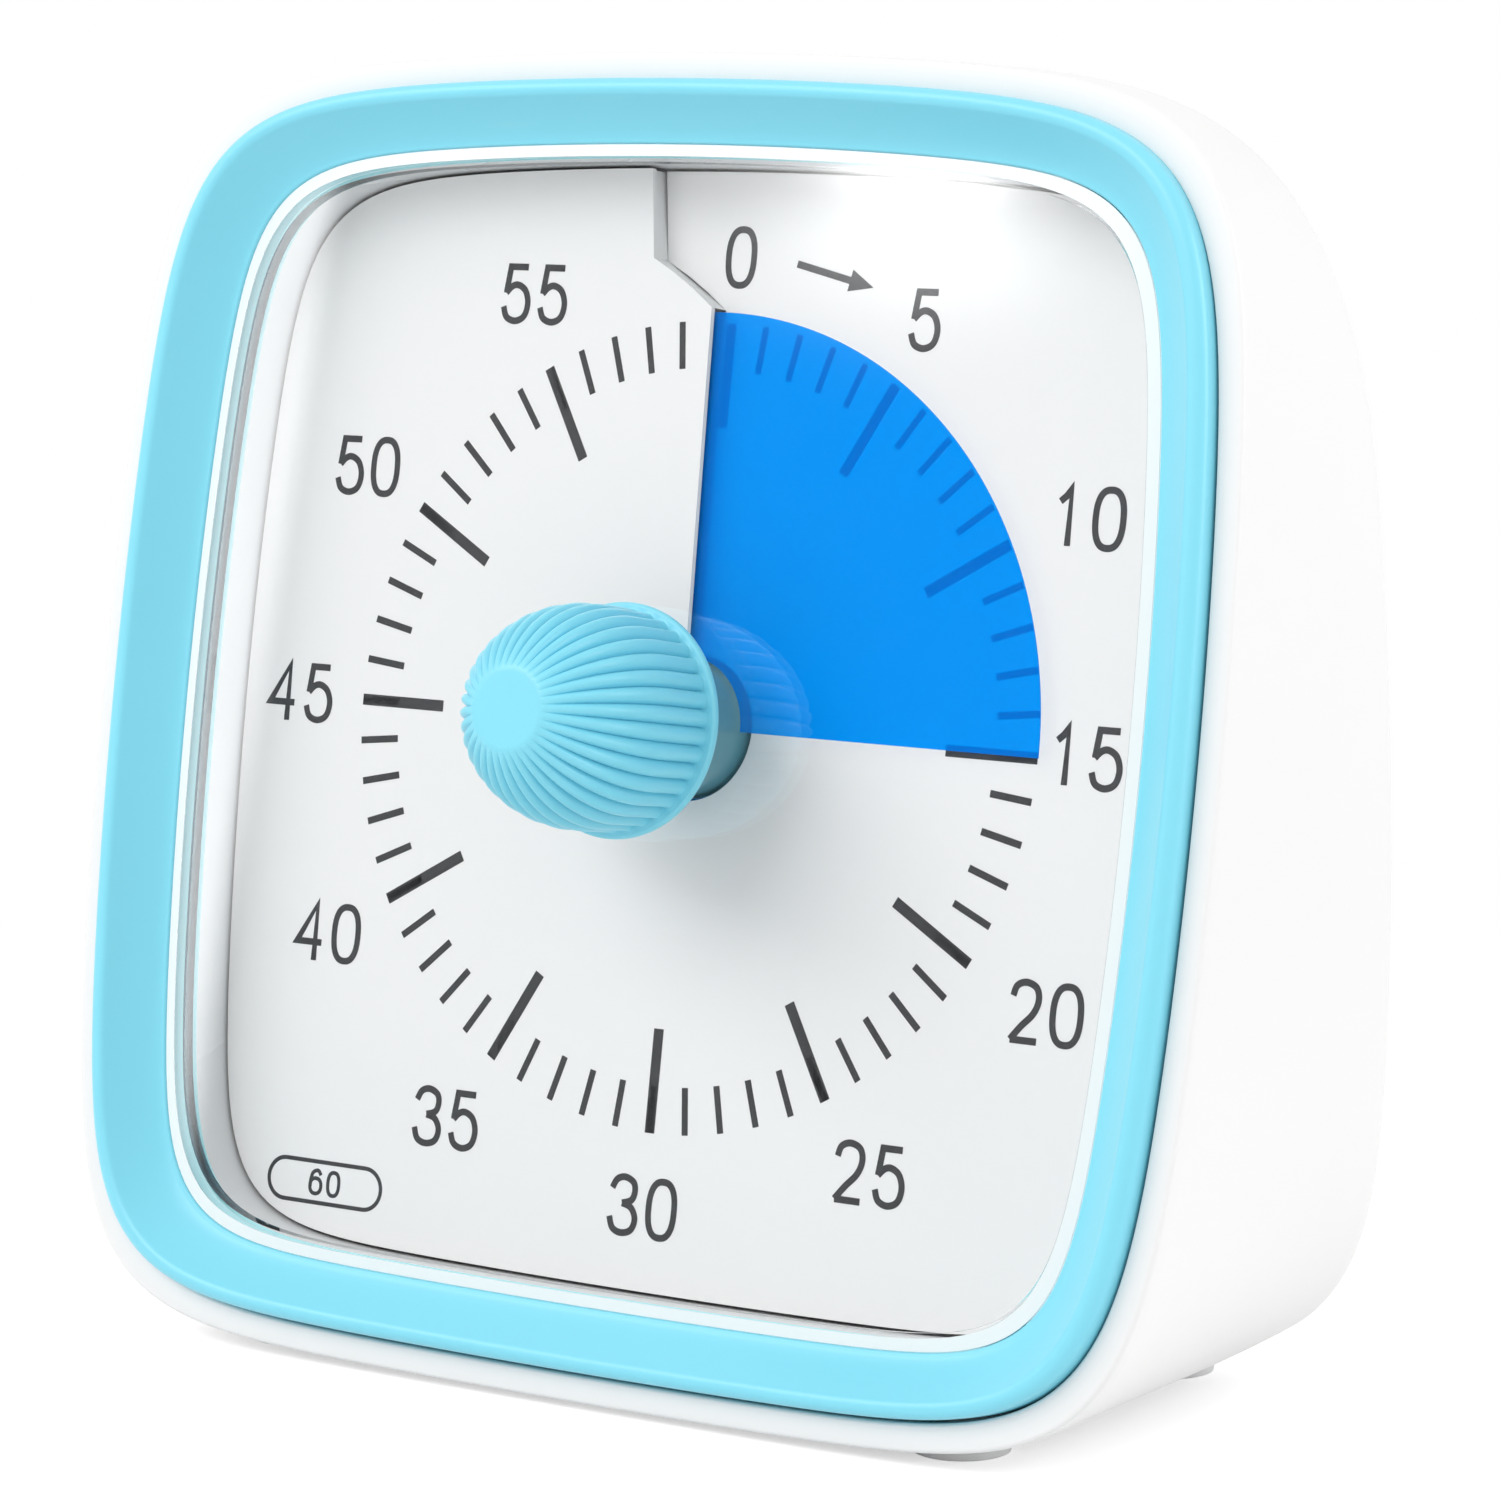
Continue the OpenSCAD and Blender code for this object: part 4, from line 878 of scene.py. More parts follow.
def finishes(scene):
    """Every material of the object by its slot, made once."""
    if finishes.made:
        return finishes.made
    c = scene.timer_colours
    made = {
        "white_abs": coated("White ABS", tuple(c.white), roughness=0.38, grain=0.008,
                            patch=0.012, rough_patch=0.05, edge=0.0, dust=0.05),
        "blue_abs": coated("Pale blue ABS", tuple(c.blue), roughness=0.34, grain=0.006,
                           patch=0.02, rough_patch=0.05, edge=0.12, dust=0.04),
        "clear_lens": clear_lens_material(),
        # Painted highlight: the lens's bevel band is coloured white
        "frosted_lens": frosted_material(c),
        "frame_abs": coated("Pale grey ABS", tuple(c.recess), roughness=0.28, grain=0.004,
                            patch=0.015, edge=0.0, dust=0.03),
        # Painted light: a paler copy of the bezel's blue for the rim in shade under the lens
        "rim_blue": coated("Pale blue rim, painted lit", tuple(c.rim), roughness=0.34, grain=0.004,
                           patch=0.02, edge=0.0, dust=0.0),
        "dial_print": coated("White dial sheet", tuple(c.dial), roughness=0.5, grain=0.0004,
                             grain_scale=3200.0, patch=0.008, edge=0.0, dust=0.0),
        "dial_ink": coated("Dark grey ink", tuple(c.ink), roughness=0.55, grain=0.004,
                           patch=0.12, edge=0.0, dust=0.0),
        "blue_film": film_material(c),
        "stem_plastic": coated("Grey-blue acetal", tuple(c.stem), roughness=0.3, grain=0.004,
                               patch=0.05, edge=0.1),
        "steel": coated("Turned steel", (0.56, 0.57, 0.58), roughness=0.28, metallic=1.0,
                        grain=0.004, grain_scale=1800.0, patch=0.08, edge=0.4),
        "gear_plastic": coated("Natural acetal", (0.80, 0.78, 0.68), roughness=0.42,
                               grain=0.005, patch=0.04),
        "brass": coated("Phosphor bronze", (0.72, 0.47, 0.22), roughness=0.3, metallic=1.0,
                        grain=0.004, patch=0.1, edge=0.4),
        "motor_can": coated("Zinc plated can", (0.62, 0.63, 0.64), roughness=0.35,
                            metallic=1.0, grain=0.01, grain_scale=900.0, patch=0.12),
        "movement_abs": coated("Black ABS", (0.022, 0.022, 0.025), roughness=0.5, grain=0.02,
                               patch=0.2, edge=0.25, dust=0.5),
        "screw_steel": coated("Zinc plated screws", (0.55, 0.55, 0.54), roughness=0.32,
                              metallic=1.0, grain=0.01, grain_scale=2000.0, patch=0.12,
                              edge=0.5),
        "board_green": coated("Green solder resist", (0.012, 0.095, 0.035), roughness=0.3,
                              grain=0.01, grain_scale=1200.0, patch=0.18),
        "component_black": coated("Black epoxy", (0.018, 0.018, 0.02), roughness=0.45,
                                  grain=0.015, patch=0.2),
        "speaker_black": coated("Black speaker cone", (0.02, 0.02, 0.022), roughness=0.75,
                                grain=0.05, grain_scale=1400.0, patch=0.25, dust=0.6),
        "slider_black": coated("Black slider", (0.025, 0.025, 0.028), roughness=0.42,
                               grain=0.015, patch=0.15, edge=0.35),
        "cell_jacket": coated("Dark cell jacket", (0.035, 0.038, 0.045), roughness=0.22,
                              grain=0.004, patch=0.1, coat=0.5),
        "nickel": coated("Nickel plate", (0.66, 0.64, 0.60), roughness=0.18, metallic=1.0,
                         grain=0.003, patch=0.08, edge=0.3),
        "foot_rubber": coated("Pale rubber", (0.78, 0.785, 0.79), roughness=0.8, grain=0.03,
                              grain_scale=1500.0, patch=0.1, dust=0.4),
        "lead_sleeve": coated("Black lead sleeve", (0.02, 0.02, 0.022), roughness=0.5,
                              grain=0.005, patch=0.15),
    }
    finishes.made = made
    return made


finishes.made = {}


# ---- Prints ----


DIGITS = {
    # Each stroke is a path in half widths and half heights. A loop is a squared oval: its
    # height, its squareness and its rise
    "0": [("loop", (1, 2.5, 0))],
    "1": [("line", [(-0.62, 0.52), (-0.2, 0.72), (0.12, 1.0), (0.12, -1.0)])],
    "2": [("curve", [(-0.95, 0.5), (-0.72, 0.86), (-0.05, 1.0), (0.7, 0.84), (0.92, 0.42),
                     (0.6, -0.06), (-0.2, -0.52), (-0.92, -1.0)]),
          ("line", [(-0.92, -1.0), (1.0, -1.0)])],
    "3": [("curve", [(-0.95, 0.56), (-0.62, 0.89), (0.0, 1.0), (0.68, 0.84), (0.84, 0.52),
                     (0.62, 0.2), (-0.1, 0.06)]),
          ("curve", [(-0.1, 0.06), (0.62, -0.06), (1.0, -0.44), (0.76, -0.86), (0.0, -1.0),
                     (-0.7, -0.86), (-1.0, -0.46)])],
    "4": [("line", [(0.98, -0.42), (-1.12, -0.42), (0.42, 1.0), (0.42, -1.1)])],
    "5": [("line", [(0.82, 0.98), (-0.62, 0.98), (-0.84, 0.02)]),
          ("curve", [(-0.84, 0.02), (-0.4, 0.26), (0.1, 0.32), (0.72, 0.12), (1.0, -0.34),
                     (0.76, -0.82), (0.05, -1.0), (-0.68, -0.86), (-0.98, -0.48)])],
    "6": [("curve", [(0.86, 0.62), (0.5, 0.94), (0.05, 1.0), (-0.62, 0.76), (-0.94, 0.1),
                     (-0.94, -0.42)]), ("loop", (0.66, 2.3, -0.34))],
}


def smooth_path(points, steps=6):
    """Points on a smooth curve through a few given points."""
    out = []
    last = len(points) - 1
    for i in range(last):
        a, b, c, d = (Vector(points[max(0, min(last, i + k))]) for k in (-1, 0, 1, 2))
        for k in range(steps):
            t = k / steps
            out.append(0.5 * (2 * b + (c - a) * t + (2 * a - 5 * b + 4 * c - d) * t * t
                              + (3 * b - a - 3 * c + d) * t * t * t))
    out.append(Vector(points[-1]))
    return out


LOOP_POINTS = 48


def loop(tall, squareness, rise):
    """Points round a squared oval as wide as a numeral."""
    points = [squared(1, tall, squareness, 2 * math.pi * k / LOOP_POINTS)
              for k in range(LOOP_POINTS)]
    return [Vector((x, y + rise)) for x, y in points]


# Longest corner of a stroke over its half width, and the least that it is divided by
MITRE_LONGEST, MITRE_GUARD = 2.0, 0.3


def ribbon(bm, path, width, closed, surface, ink):
    """A flat stroke along a path on the dial, with mitred corners, as a thin solid."""
    count = len(path)
    left, right = [], []
    for i, p in enumerate(path):
        before = path[i - 1] if closed or i > 0 else None
        after = path[(i + 1) % count] if closed or i < count - 1 else None
        d1 = (p - before).normalized() if before is not None else (after - p).normalized()
        d2 = (after - p).normalized() if after is not None else d1
        n1, n2 = Vector((-d1.y, d1.x)), Vector((-d2.y, d2.x))
        mitre = (n1 + n2).normalized()
        reach = min(MITRE_LONGEST, 1 / max(MITRE_GUARD, mitre.dot(n1))) * width / 2
        left.append(p + mitre * reach)
        right.append(p - mitre * reach)
    rows = []
    for edge, z in ((left, 0), (right, 0), (right, 1), (left, 1)):
        rows.append([bm.verts.new((q.x, q.y, surface(q) + (z - 0.5) * ink)) for q in edge])
    spans = range(count if closed else count - 1)
    for row, other in zip(rows, rows[1:] + rows[:1]):
        for i in spans:
            n = (i + 1) % count
            bm.faces.new((row[i], row[n], other[n], other[i]))
    if not closed:
        bm.faces.new([row[0] for row in rows])
        bm.faces.new([row[-1] for row in rows][::-1])


def draw_number(bm, text, centre, height, width, stroke, surface, ink, gap):
    """Plain numerals, centred on a place on the dial."""
    pitch = width + gap
    for i, digit in enumerate(text):
        middle = Vector(centre) + Vector(((i - (len(text) - 1) / 2) * pitch, 0))
        half = Vector(((width - stroke) / 2, (height - stroke) / 2))
        for kind, shape in DIGITS[digit]:
            closed = kind == "loop"
            if closed:
                path = loop(*shape)
            elif kind == "curve":
                path = smooth_path(shape)
            else:
                path = [Vector(p) for p in shape]
            placed = [middle + Vector((p.x * half.x, p.y * half.y)) for p in path]
            ribbon(bm, placed, stroke, closed, surface, ink)


# Middles of the numerals, in millimetres right of and above the dial's middle
NUMBER_PLACES = {0: (0.5, 48.9), 5: (23.8, 43.1), 10: (45.2, 24.1), 15: (47.5, 0.5),
                 20: (45.8, -25.0), 25: (27.1, -43.1), 30: (0, -49.7), 35: (-26.1, -43.4),
                 40: (-43.9, -25.3), 45: (-50.5, 0.2), 50: (-44.1, 25.0), 55: (-23.8, 44.1)}
DIGIT_GAP = 0.9 * MM
ARROW = ((7.6, 48.4), (17.2, 46.2))
BADGE = (-41.4, -52.1)


FILM_CLEAR = 0.4 * MM  # from the film's edge to the cut's bend
BEND_REACH = 5.7 * MM  # from the bend to where the cut's outer part starts


def cut_radii(dial):
    """Where the cut bends beyond the film, and where its outer part starts."""
    bend = dial.scale + dial.film_over + FILM_CLEAR
    return bend, bend + BEND_REACH


def dial_surface(dial):
    """Height of the dial plate's face at a place on it."""
    bend, side = cut_radii(dial)

    def height(p):
        radius = math.hypot(p[0], p[1])
        f = min(1, max(0, (radius - bend) / (side - bend)))
        swing = mix(dial.cut_inner, dial.cut_outer, f)
        turns = ((math.pi / 2 + swing - math.atan2(p[1], p[0])) / (2 * math.pi)) % 1
        return turns * dial.pitch + dial.ink
    return height


def arrow(bm, start, end, surface, ink):
    """A thin arrow printed from start to end."""
    shaft, head_length, head_width = 0.75 * MM, 3.0 * MM, 2.3 * MM
    a, b = Vector(start) * MM, Vector(end) * MM
    along = (b - a).normalized()
    side = Vector((-along.y, along.x))
    neck = b - along * head_length
    points = [a + side * shaft / 2, a - side * shaft / 2, neck - side * shaft / 2,
              neck - side * head_width / 2, b, neck + side * head_width / 2,
              neck + side * shaft / 2]
    rows = [[bm.verts.new((p.x, p.y, surface(p) + k * ink)) for p in points]
            for k in (-0.5, 0.5)]
    bm.faces.new(rows[0][::-1])
    bm.faces.new(rows[1])
    for i in range(len(points)):
        n = (i + 1) % len(points)
        bm.faces.new((rows[0][i], rows[0][n], rows[1][n], rows[1][i]))


def badge(bm, dial, surface):
    """A round-ended frame with the dial's full count in it."""
    half_length, half_height, stroke, arc = 7.6 * MM, 2.2 * MM, 0.45 * MM, 16
    centre = Vector(BADGE) * MM
    straight = half_length - half_height
    path = []
    for side in (1, -1):
        for k in range(arc + 1):
            t = -math.pi / 2 + math.pi * k / arc + (0 if side == 1 else math.pi)
            path.append(centre + Vector((side * straight + half_height * math.cos(t),
                                         half_height * math.sin(t))))
    ribbon(bm, path, stroke, True, surface, dial.ink)
    height, width, line, gap = 2.9 * MM, 1.9 * MM, 0.42 * MM, 0.5 * MM
    draw_number(bm, "60", centre, height, width, line, surface, dial.ink, gap)


# ---- Operators ----


class TimerOperator:
    """What every operator here shares."""

    bl_options = {"REGISTER", "UNDO"}

    def execute(self, context):
        self.build(context.scene)
        return {"FINISHED"}


class TIMER_OT_housing(TimerOperator, bpy.types.Operator):
    """Moulds the housing's smooth outside onto its packed inside."""

    bl_idname = "timer.housing"
    bl_label = "Housing"

    # How the outline changes from the lip to the back: powers of the way there, and the
    # squareness that it loses
    SIDE_POWER, ROOF_POWER, SQUARENESS_LOSS = 4, 3.2, 0.6
    LIP_INNER_ROUND = 0.3 * MM
    LIP_BACK, WALL_START = 1.2 * MM, 1.6 * MM  # where the lip's land ends, behind the lip
    ROOM_START = 0.035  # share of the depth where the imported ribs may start
    ROOM_MARGIN = 0.3 * MM

    def ring(self, h, s, inset, shrink=0.0):
        """One section: s runs from 0 at the front lip to 1 at the back wall."""
        gap = (1 - s) * (h.depth - inset)
        r = h.back_edge - inset
        e = inset + shrink
        if gap < r:
            e += r - math.sqrt(max(0, r * r - (r - gap) ** 2))
        half = h.width / 2 - h.side_draw * s ** self.SIDE_POWER - e
        tall = h.height - h.roof_draw * s ** self.ROOF_POWER - 2 * e
        middle = h.base + e + tall / 2
        slope = mix(math.tan(LEAN), -math.tan(BACK_LEAN), s)
        front = BODY_Y - h.depth / 2
        back = BODY_Y + h.depth / 2 - inset / math.cos(BACK_LEAN)
        return [Vector((x, mix(front, back, s) + (middle + z) * slope, middle + z))
                for x, z in outline(half, tall / 2, h.squareness - self.SQUARENESS_LOSS * s,
                                    (h.side_bow, h.roof_bow, h.base_bow))]

    def steps(self, h, inset, count):
        """Places of the sections: even along the walls, then round the back edge."""
        turn = 1 - (h.back_edge - inset) / (h.depth - inset)
        flat = [turn * i / count for i in range(1, count + 1)]
        return flat + [mix(turn, 1, math.sin(math.radians(a))) for a in range(10, 91, 10)]

    def shell(self, h):
        """Up the outside from the back wall to the lip and down the inside."""
        land, edge = h.wall + h.lip_land, self.LIP_INNER_ROUND
        rings = [self.ring(h, s, 0) for s in reversed(self.steps(h, 0, 24))]
        rings += [self.ring(h, h.lip_round * up / h.depth, 0, h.lip_round * out)
                  for up, out in rounding(0, 30, 60, 90)]
        rings += [self.ring(h, edge * up / h.depth, 0, land - edge * out)
                  for up, out in rounding(90, 45, 0)]
        rings += [self.ring(h, self.LIP_BACK / h.depth, 0, land),
                  self.ring(h, self.WALL_START / h.depth, 0, h.wall)]
        rings += [self.ring(h, s, h.wall) for s in self.steps(h, h.wall, 8)]
        return loft(rings)

    def inside(self, h):
        """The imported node's ribs, bosses and boxes, without its outer wall."""
        inset = h.wall - self.ROOM_MARGIN
        room = loft([self.ring(h, s, inset)
                     for s in [self.ROOM_START] + self.steps(h, inset, 12)])
        return as_bmesh(combine("housing_inside", merged_copy("rear_housing"), [room],
                                "INTERSECT"))

    def build(self, scene):
        h = scene.timer_housing
        back = axes((-1, 0, 0), (0, -math.sin(BACK_LEAN), math.cos(BACK_LEAN)),
                    (0, math.cos(BACK_LEAN), math.sin(BACK_LEAN)),
                    (0, BODY_Y + h.depth / 2, 0))
        cutters = []
        for bm, place in ([(bm, back) for bm in self.back_cutters(scene, h)]
                          + [(bm, DIAL) for bm in self.screw_wells(scene, h)]):
            bmesh.ops.transform(bm, matrix=place, verts=bm.verts)
            bmesh.ops.recalc_face_normals(bm, faces=bm.faces)
            cutters.append(bm)
        whole = combine("housing", self.shell(h), [self.inside(h)], "UNION")
        piece = combine("rear_housing_shell", as_bmesh(whole), cutters, "DIFFERENCE")
        smooth(piece)
        finish(piece, "housing", "white_abs", finishes(scene)["white_abs"], "rear_housing")

    # Openings of the back wall in millimetres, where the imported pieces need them
    GAP = 0.3
    OUT = 5  # how far a cutter reaches past the wall
    DOOR, DOOR_MIDDLE, DOOR_DEEP = (64.2, 21.9), 25.05, 1.85
    CELL_OPENING, CELL_OPENING_OUT = (29.1, 7.95), 1
    TONGUE_INSET, TONGUE_HALF, TONGUE_REACH = 5, 2, 1.4
    TONGUE_SKIN, TONGUE_NOTCH = 0.85, 1.8
    SOUND_INSET, SOUND_DROP, SOUND_RADIUS = 24.6, 59.6, 10.5
    SLOT_COUNT, SLOT_STEP, SLOT_WIDTH, SLOT_DEEP = 7, 2.9, 1.6, 8
    SWITCH_HALF, SWITCH_TRAVEL, SWITCH_TALL, SWITCH_DEEP = 4 / 2, 2.5, 1.7, 4

    def back_cutters(self, scene, h):
        """Solids that open the back, seen from behind: door recess, slots and switch."""
        cuts = []

        def cut(x, y, z):
            cuts.append(box_mesh(*zip(x, y, z)))

        gap, out, deep = self.GAP * MM, self.OUT * MM, self.DOOR_DEEP * MM
        travel = joint("door_slide")["range_m"][1]
        half_w, half_h = self.DOOR[0] / 2 * MM, self.DOOR[1] / 2 * MM
        middle = self.DOOR_MIDDLE * MM
        cut((-half_w - gap, half_w + gap),
            (middle - half_h - travel - gap, middle + half_h + gap), (-deep, out))
        cell_w, cell_h = (size * MM for size in self.CELL_OPENING)
        cut((-cell_w, cell_w), (middle - cell_h, middle + cell_h),
            (-out, self.CELL_OPENING_OUT * MM))
        for side in (-1, 1):
            v = middle + side * (half_h - self.TONGUE_INSET * MM)
            bottom = v - self.TONGUE_HALF * MM - travel - gap
            top = v + self.TONGUE_HALF * MM + gap
            reach = half_w + self.TONGUE_REACH * MM + gap
            cut((-reach, reach), (bottom, top), (-deep, -self.TONGUE_SKIN * MM))
            cut((-reach, reach), (bottom, top - travel), (-self.TONGUE_NOTCH * MM, out))
        sound = Vector((h.width / 2 - self.SOUND_INSET * MM,
                        h.height - self.SOUND_DROP * MM, 0))
        slots = grow("slots", slots_tree(finishes(scene)["white_abs"]), {
            "Count": float(self.SLOT_COUNT), "Step": self.SLOT_STEP * MM,
            "Circle radius": self.SOUND_RADIUS * MM, "Slot width": self.SLOT_WIDTH * MM,
            "Depth": self.SLOT_DEEP * MM})
        bmesh.ops.translate(slots, vec=sound, verts=slots.verts)
        cuts.append(slots)
        reach = (self.SWITCH_HALF + self.SWITCH_TRAVEL) * MM + gap
        tall, deep = self.SWITCH_TALL * MM, self.SWITCH_DEEP * MM
        cut((-sound.x - reach, -sound.x + reach),
            (sound.y - tall - gap, sound.y + tall + gap), (-deep, deep))
        return cuts

    # Screw wells in millimetres: radius, places from the window's corners, and heights
    WELL_RADIUS, WELL_SIDES = 3.0, 64
    WELL_SIDE_TOP, WELL_DOWN, WELL_SIDE_BASE, WELL_UP = 15.7, 21.7, 12.7, 14.7
    POST_BACK, WELL_FLOOR = 10.8, 3

    def screw_wells(self, scene, h):
        """Solids that let the screws reach the frame's posts, in the dial frame."""
        front = Front(scene)
        half_w, half_h = front.window_w / 2, front.window_h / 2
        post_back = -self.POST_BACK * MM
        ends = (post_back - h.depth, post_back - self.WELL_FLOOR * MM)
        return [loft([circle(self.WELL_RADIUS * MM, z, self.WELL_SIDES, (side * x, y))
                      for z in ends])
                for side in (-1, 1)
                for x, y in ((half_w - self.WELL_SIDE_TOP * MM, half_h - self.WELL_DOWN * MM),
                             (half_w - self.WELL_SIDE_BASE * MM,
                              self.WELL_UP * MM - half_h))]


class TIMER_OT_bezel(TimerOperator, bpy.types.Operator):
    """Lofts the dished bezel from its lip down to the window."""

    bl_idname = "timer.bezel"
    bl_label = "Bezel"

    LIP_WIDE = 1.15  # lip's width over its radius
    DISH_START, DISH_END = 1.55, 0.955  # over the lip's width; as a share of the band
    DISH_FALL, DISH_POWER = 0.22 * MM, 1.3
    EDGE_ROUND = 0.3 * MM
    LAP_CLEAR, SKIRT_THICK = 0.7 * MM, 1.7 * MM

    def profile(self, front):
        """Places across the band, from 0 outside to 1 at the window, with their heights."""
        s = front.sizes
        rim, edge, r = front.bezel_top, front.window_front, s.lip_radius
        lip = r * self.LIP_WIDE / s.band_side
        start, end, fall = lip * self.DISH_START, self.DISH_END, self.DISH_FALL
        points = [(0, front.seat), (0, rim - r - self.EDGE_ROUND)]
        points += [(lip * out, rim - r * up) for up, out in rounding(*range(0, 91, 9))]
        points += [(mix(lip, start, f), rim - fall * f * f) for f in (0.25, 0.5, 0.75, 1)]
        points += [(mix(start, end, i / 24),
                    edge + (rim - fall - edge) * (1 - i / 24) ** self.DISH_POWER)
                   for i in range(1, 25)]
        points += [(mix(end, 1, math.sin(math.radians(a))), edge - self.EDGE_ROUND * down)
                   for a in range(15, 91, 15) for _, down in rounding(a)]
        inner = 1 - (s.lens_lap + self.LAP_CLEAR) / min(s.band_side, s.band_top)
        outer = inner - self.SKIRT_THICK / s.band_side
        points += [(1, front.flange_top), (inner, front.flange_top),
                   (inner, front.skirt_bottom), (outer, front.skirt_bottom),
                   (outer, front.seat)]
        return points

    def build(self, scene):
        front = Front(scene)
        bm = loft([front.bezel(f, z) for f, z in self.profile(front)], closed=True)
        piece = mesh_object("bezel_ring", on_dial(bm))
        smooth(piece)
        finish(piece, "housing", "blue_abs", finishes(scene)["blue_abs"], "front_bezel")


class TIMER_OT_lens(TimerOperator, bpy.types.Operator):
    """Lofts the clear lens with its raised face, flange and hole for the neck."""

    bl_idname = "timer.lens"
    bl_label = "Lens"

    GAP = 0.1 * MM  # between the white bevel band and the bezel
    FROST = 0.1 * MM  # thickness of the white bevel band, a painted highlight
    GUARD = 0.15 * MM  # rings this far inside a rounding keep the flat faces' shading flat
    FINE, HAIR = 0.02 * MM, 0.01 * MM  # what keeps the two pieces' faces apart
    SEAT_CLEAR, FLANGE_CLEAR = 0.03 * MM, 0.05 * MM
    BACK_INSET = 0.7 * MM  # lens's back inside the recess

    def build(self, scene):
        front = Front(scene)
        s = front.sizes
        made = finishes(scene)
        top, low = front.lens_top, front.lens_top - s.border_rise
        gap, frost, guard, lap = self.GAP, self.FROST, self.GUARD, s.lens_lap
        border = gap + s.border
        inner = -s.recess_inset - self.BACK_INSET
        under = top - s.lens_thick
        seat, flange = (front.flange_bottom + self.SEAT_CLEAR,
                        front.flange_top - self.FLANGE_CLEAR)
        hole = scene.timer_dial.neck_hole

        def round_hole(z, out=0.0):
            turns = [math.atan2(p.y, p.x) for p in front.window(0, z)]
            return [Vector(((hole + out) * math.cos(t), (hole + out) * math.sin(t), z))
                    for t in turns]

        rings = [round_hole(top - frost), round_hole(top), round_hole(top, guard),
                 *front.windows((-border - guard, top), (-border, top),
                                (-border, top - frost), (-gap, low - frost), (-gap, flange),
                                (lap, flange), (lap, seat), (inner, seat), (inner, under),
                                (inner - guard, under)),
                 round_hole(under, guard), round_hole(under)]
        bevel = front.windows((-border + self.FINE, top), (-gap - self.FROST, low + self.FINE),
                              (-gap, low), (-gap, low - frost + self.HAIR),
                              (-border + self.FINE, top - frost + self.HAIR))
        for name, shape, finish_name, nodes in (
                ("lens_window", rings, "clear_lens", ["lens"]),
                ("lens_border", bevel, "frosted_lens", [])):
            piece = mesh_object(name, on_dial(loft(shape, closed=True)))
            smooth(piece, 12)
            finish(piece, "housing", "clear_lens", made[finish_name], *nodes)


class TIMER_OT_recess(TimerOperator, bpy.types.Operator):
    """Lofts the smooth recess wall round the dial frame's packed floor and posts."""

    bl_idname = "timer.recess"
    bl_label = "Dial frame"

    FLOOR = -1.8 * MM  # frame's floor under the dial
    RIM_THICK, LIP_THICK = 1.6 * MM, 0.3 * MM
    GROOVE_DEEP = 0.8 * MM
    STRIP, CORE_INSET = 1 * MM, 0.5 * MM  # the two pieces lap by their difference
    PAINT_MARGIN = 0.02 * MM

    def build(self, scene):
        front = Front(scene)
        s = front.sizes
        made = finishes(scene)
        wall, lap, top = -s.recess_inset, s.lens_lap, front.flange_bottom
        out, strip = s.frame_wall + wall, wall - self.STRIP
        floor, back = self.FLOOR, self.FLOOR - s.frame_wall
        rim, shelf, deep = top - self.RIM_THICK, top - self.LIP_THICK, wall + self.GROOVE_DEEP
        walls = loft(front.windows(
            (out - s.frame_draft, back), (out, rim), (lap, rim), (lap, top), (wall, top),
            (wall, shelf), (deep, shelf), (deep, shelf - s.groove), (wall, shelf - s.groove),
            (wall, floor), (strip, floor), (strip, back)), closed=True)
        core = wall - self.CORE_INSET
        room = loft(front.windows((core, -40 * MM), (core, 40 * MM)))
        middle = combine("frame_middle", merged_copy("dial_frame"), [on_dial(room)],
                         "INTERSECT")
        piece = mesh_object("dial_recess", on_dial(walls))
        smooth(piece)
        smooth(middle)
        finish(piece, "housing", "frame_abs", made["frame_abs"], "dial_frame")
        finish(middle, "housing", "frame_abs", made["frame_abs"])
        # Everything from the groove's lower edge up to the lens is painted blue, paler than the bezel: painted
        # light, as this rim lies in shade under the lens
        piece.data.materials.append(made["rim_blue"])
        to_dial = DIAL.inverted()
        for face in piece.data.polygons:
            if (to_dial @ face.center).z > shelf - s.groove - self.PAINT_MARGIN:
                face.material_index = 1


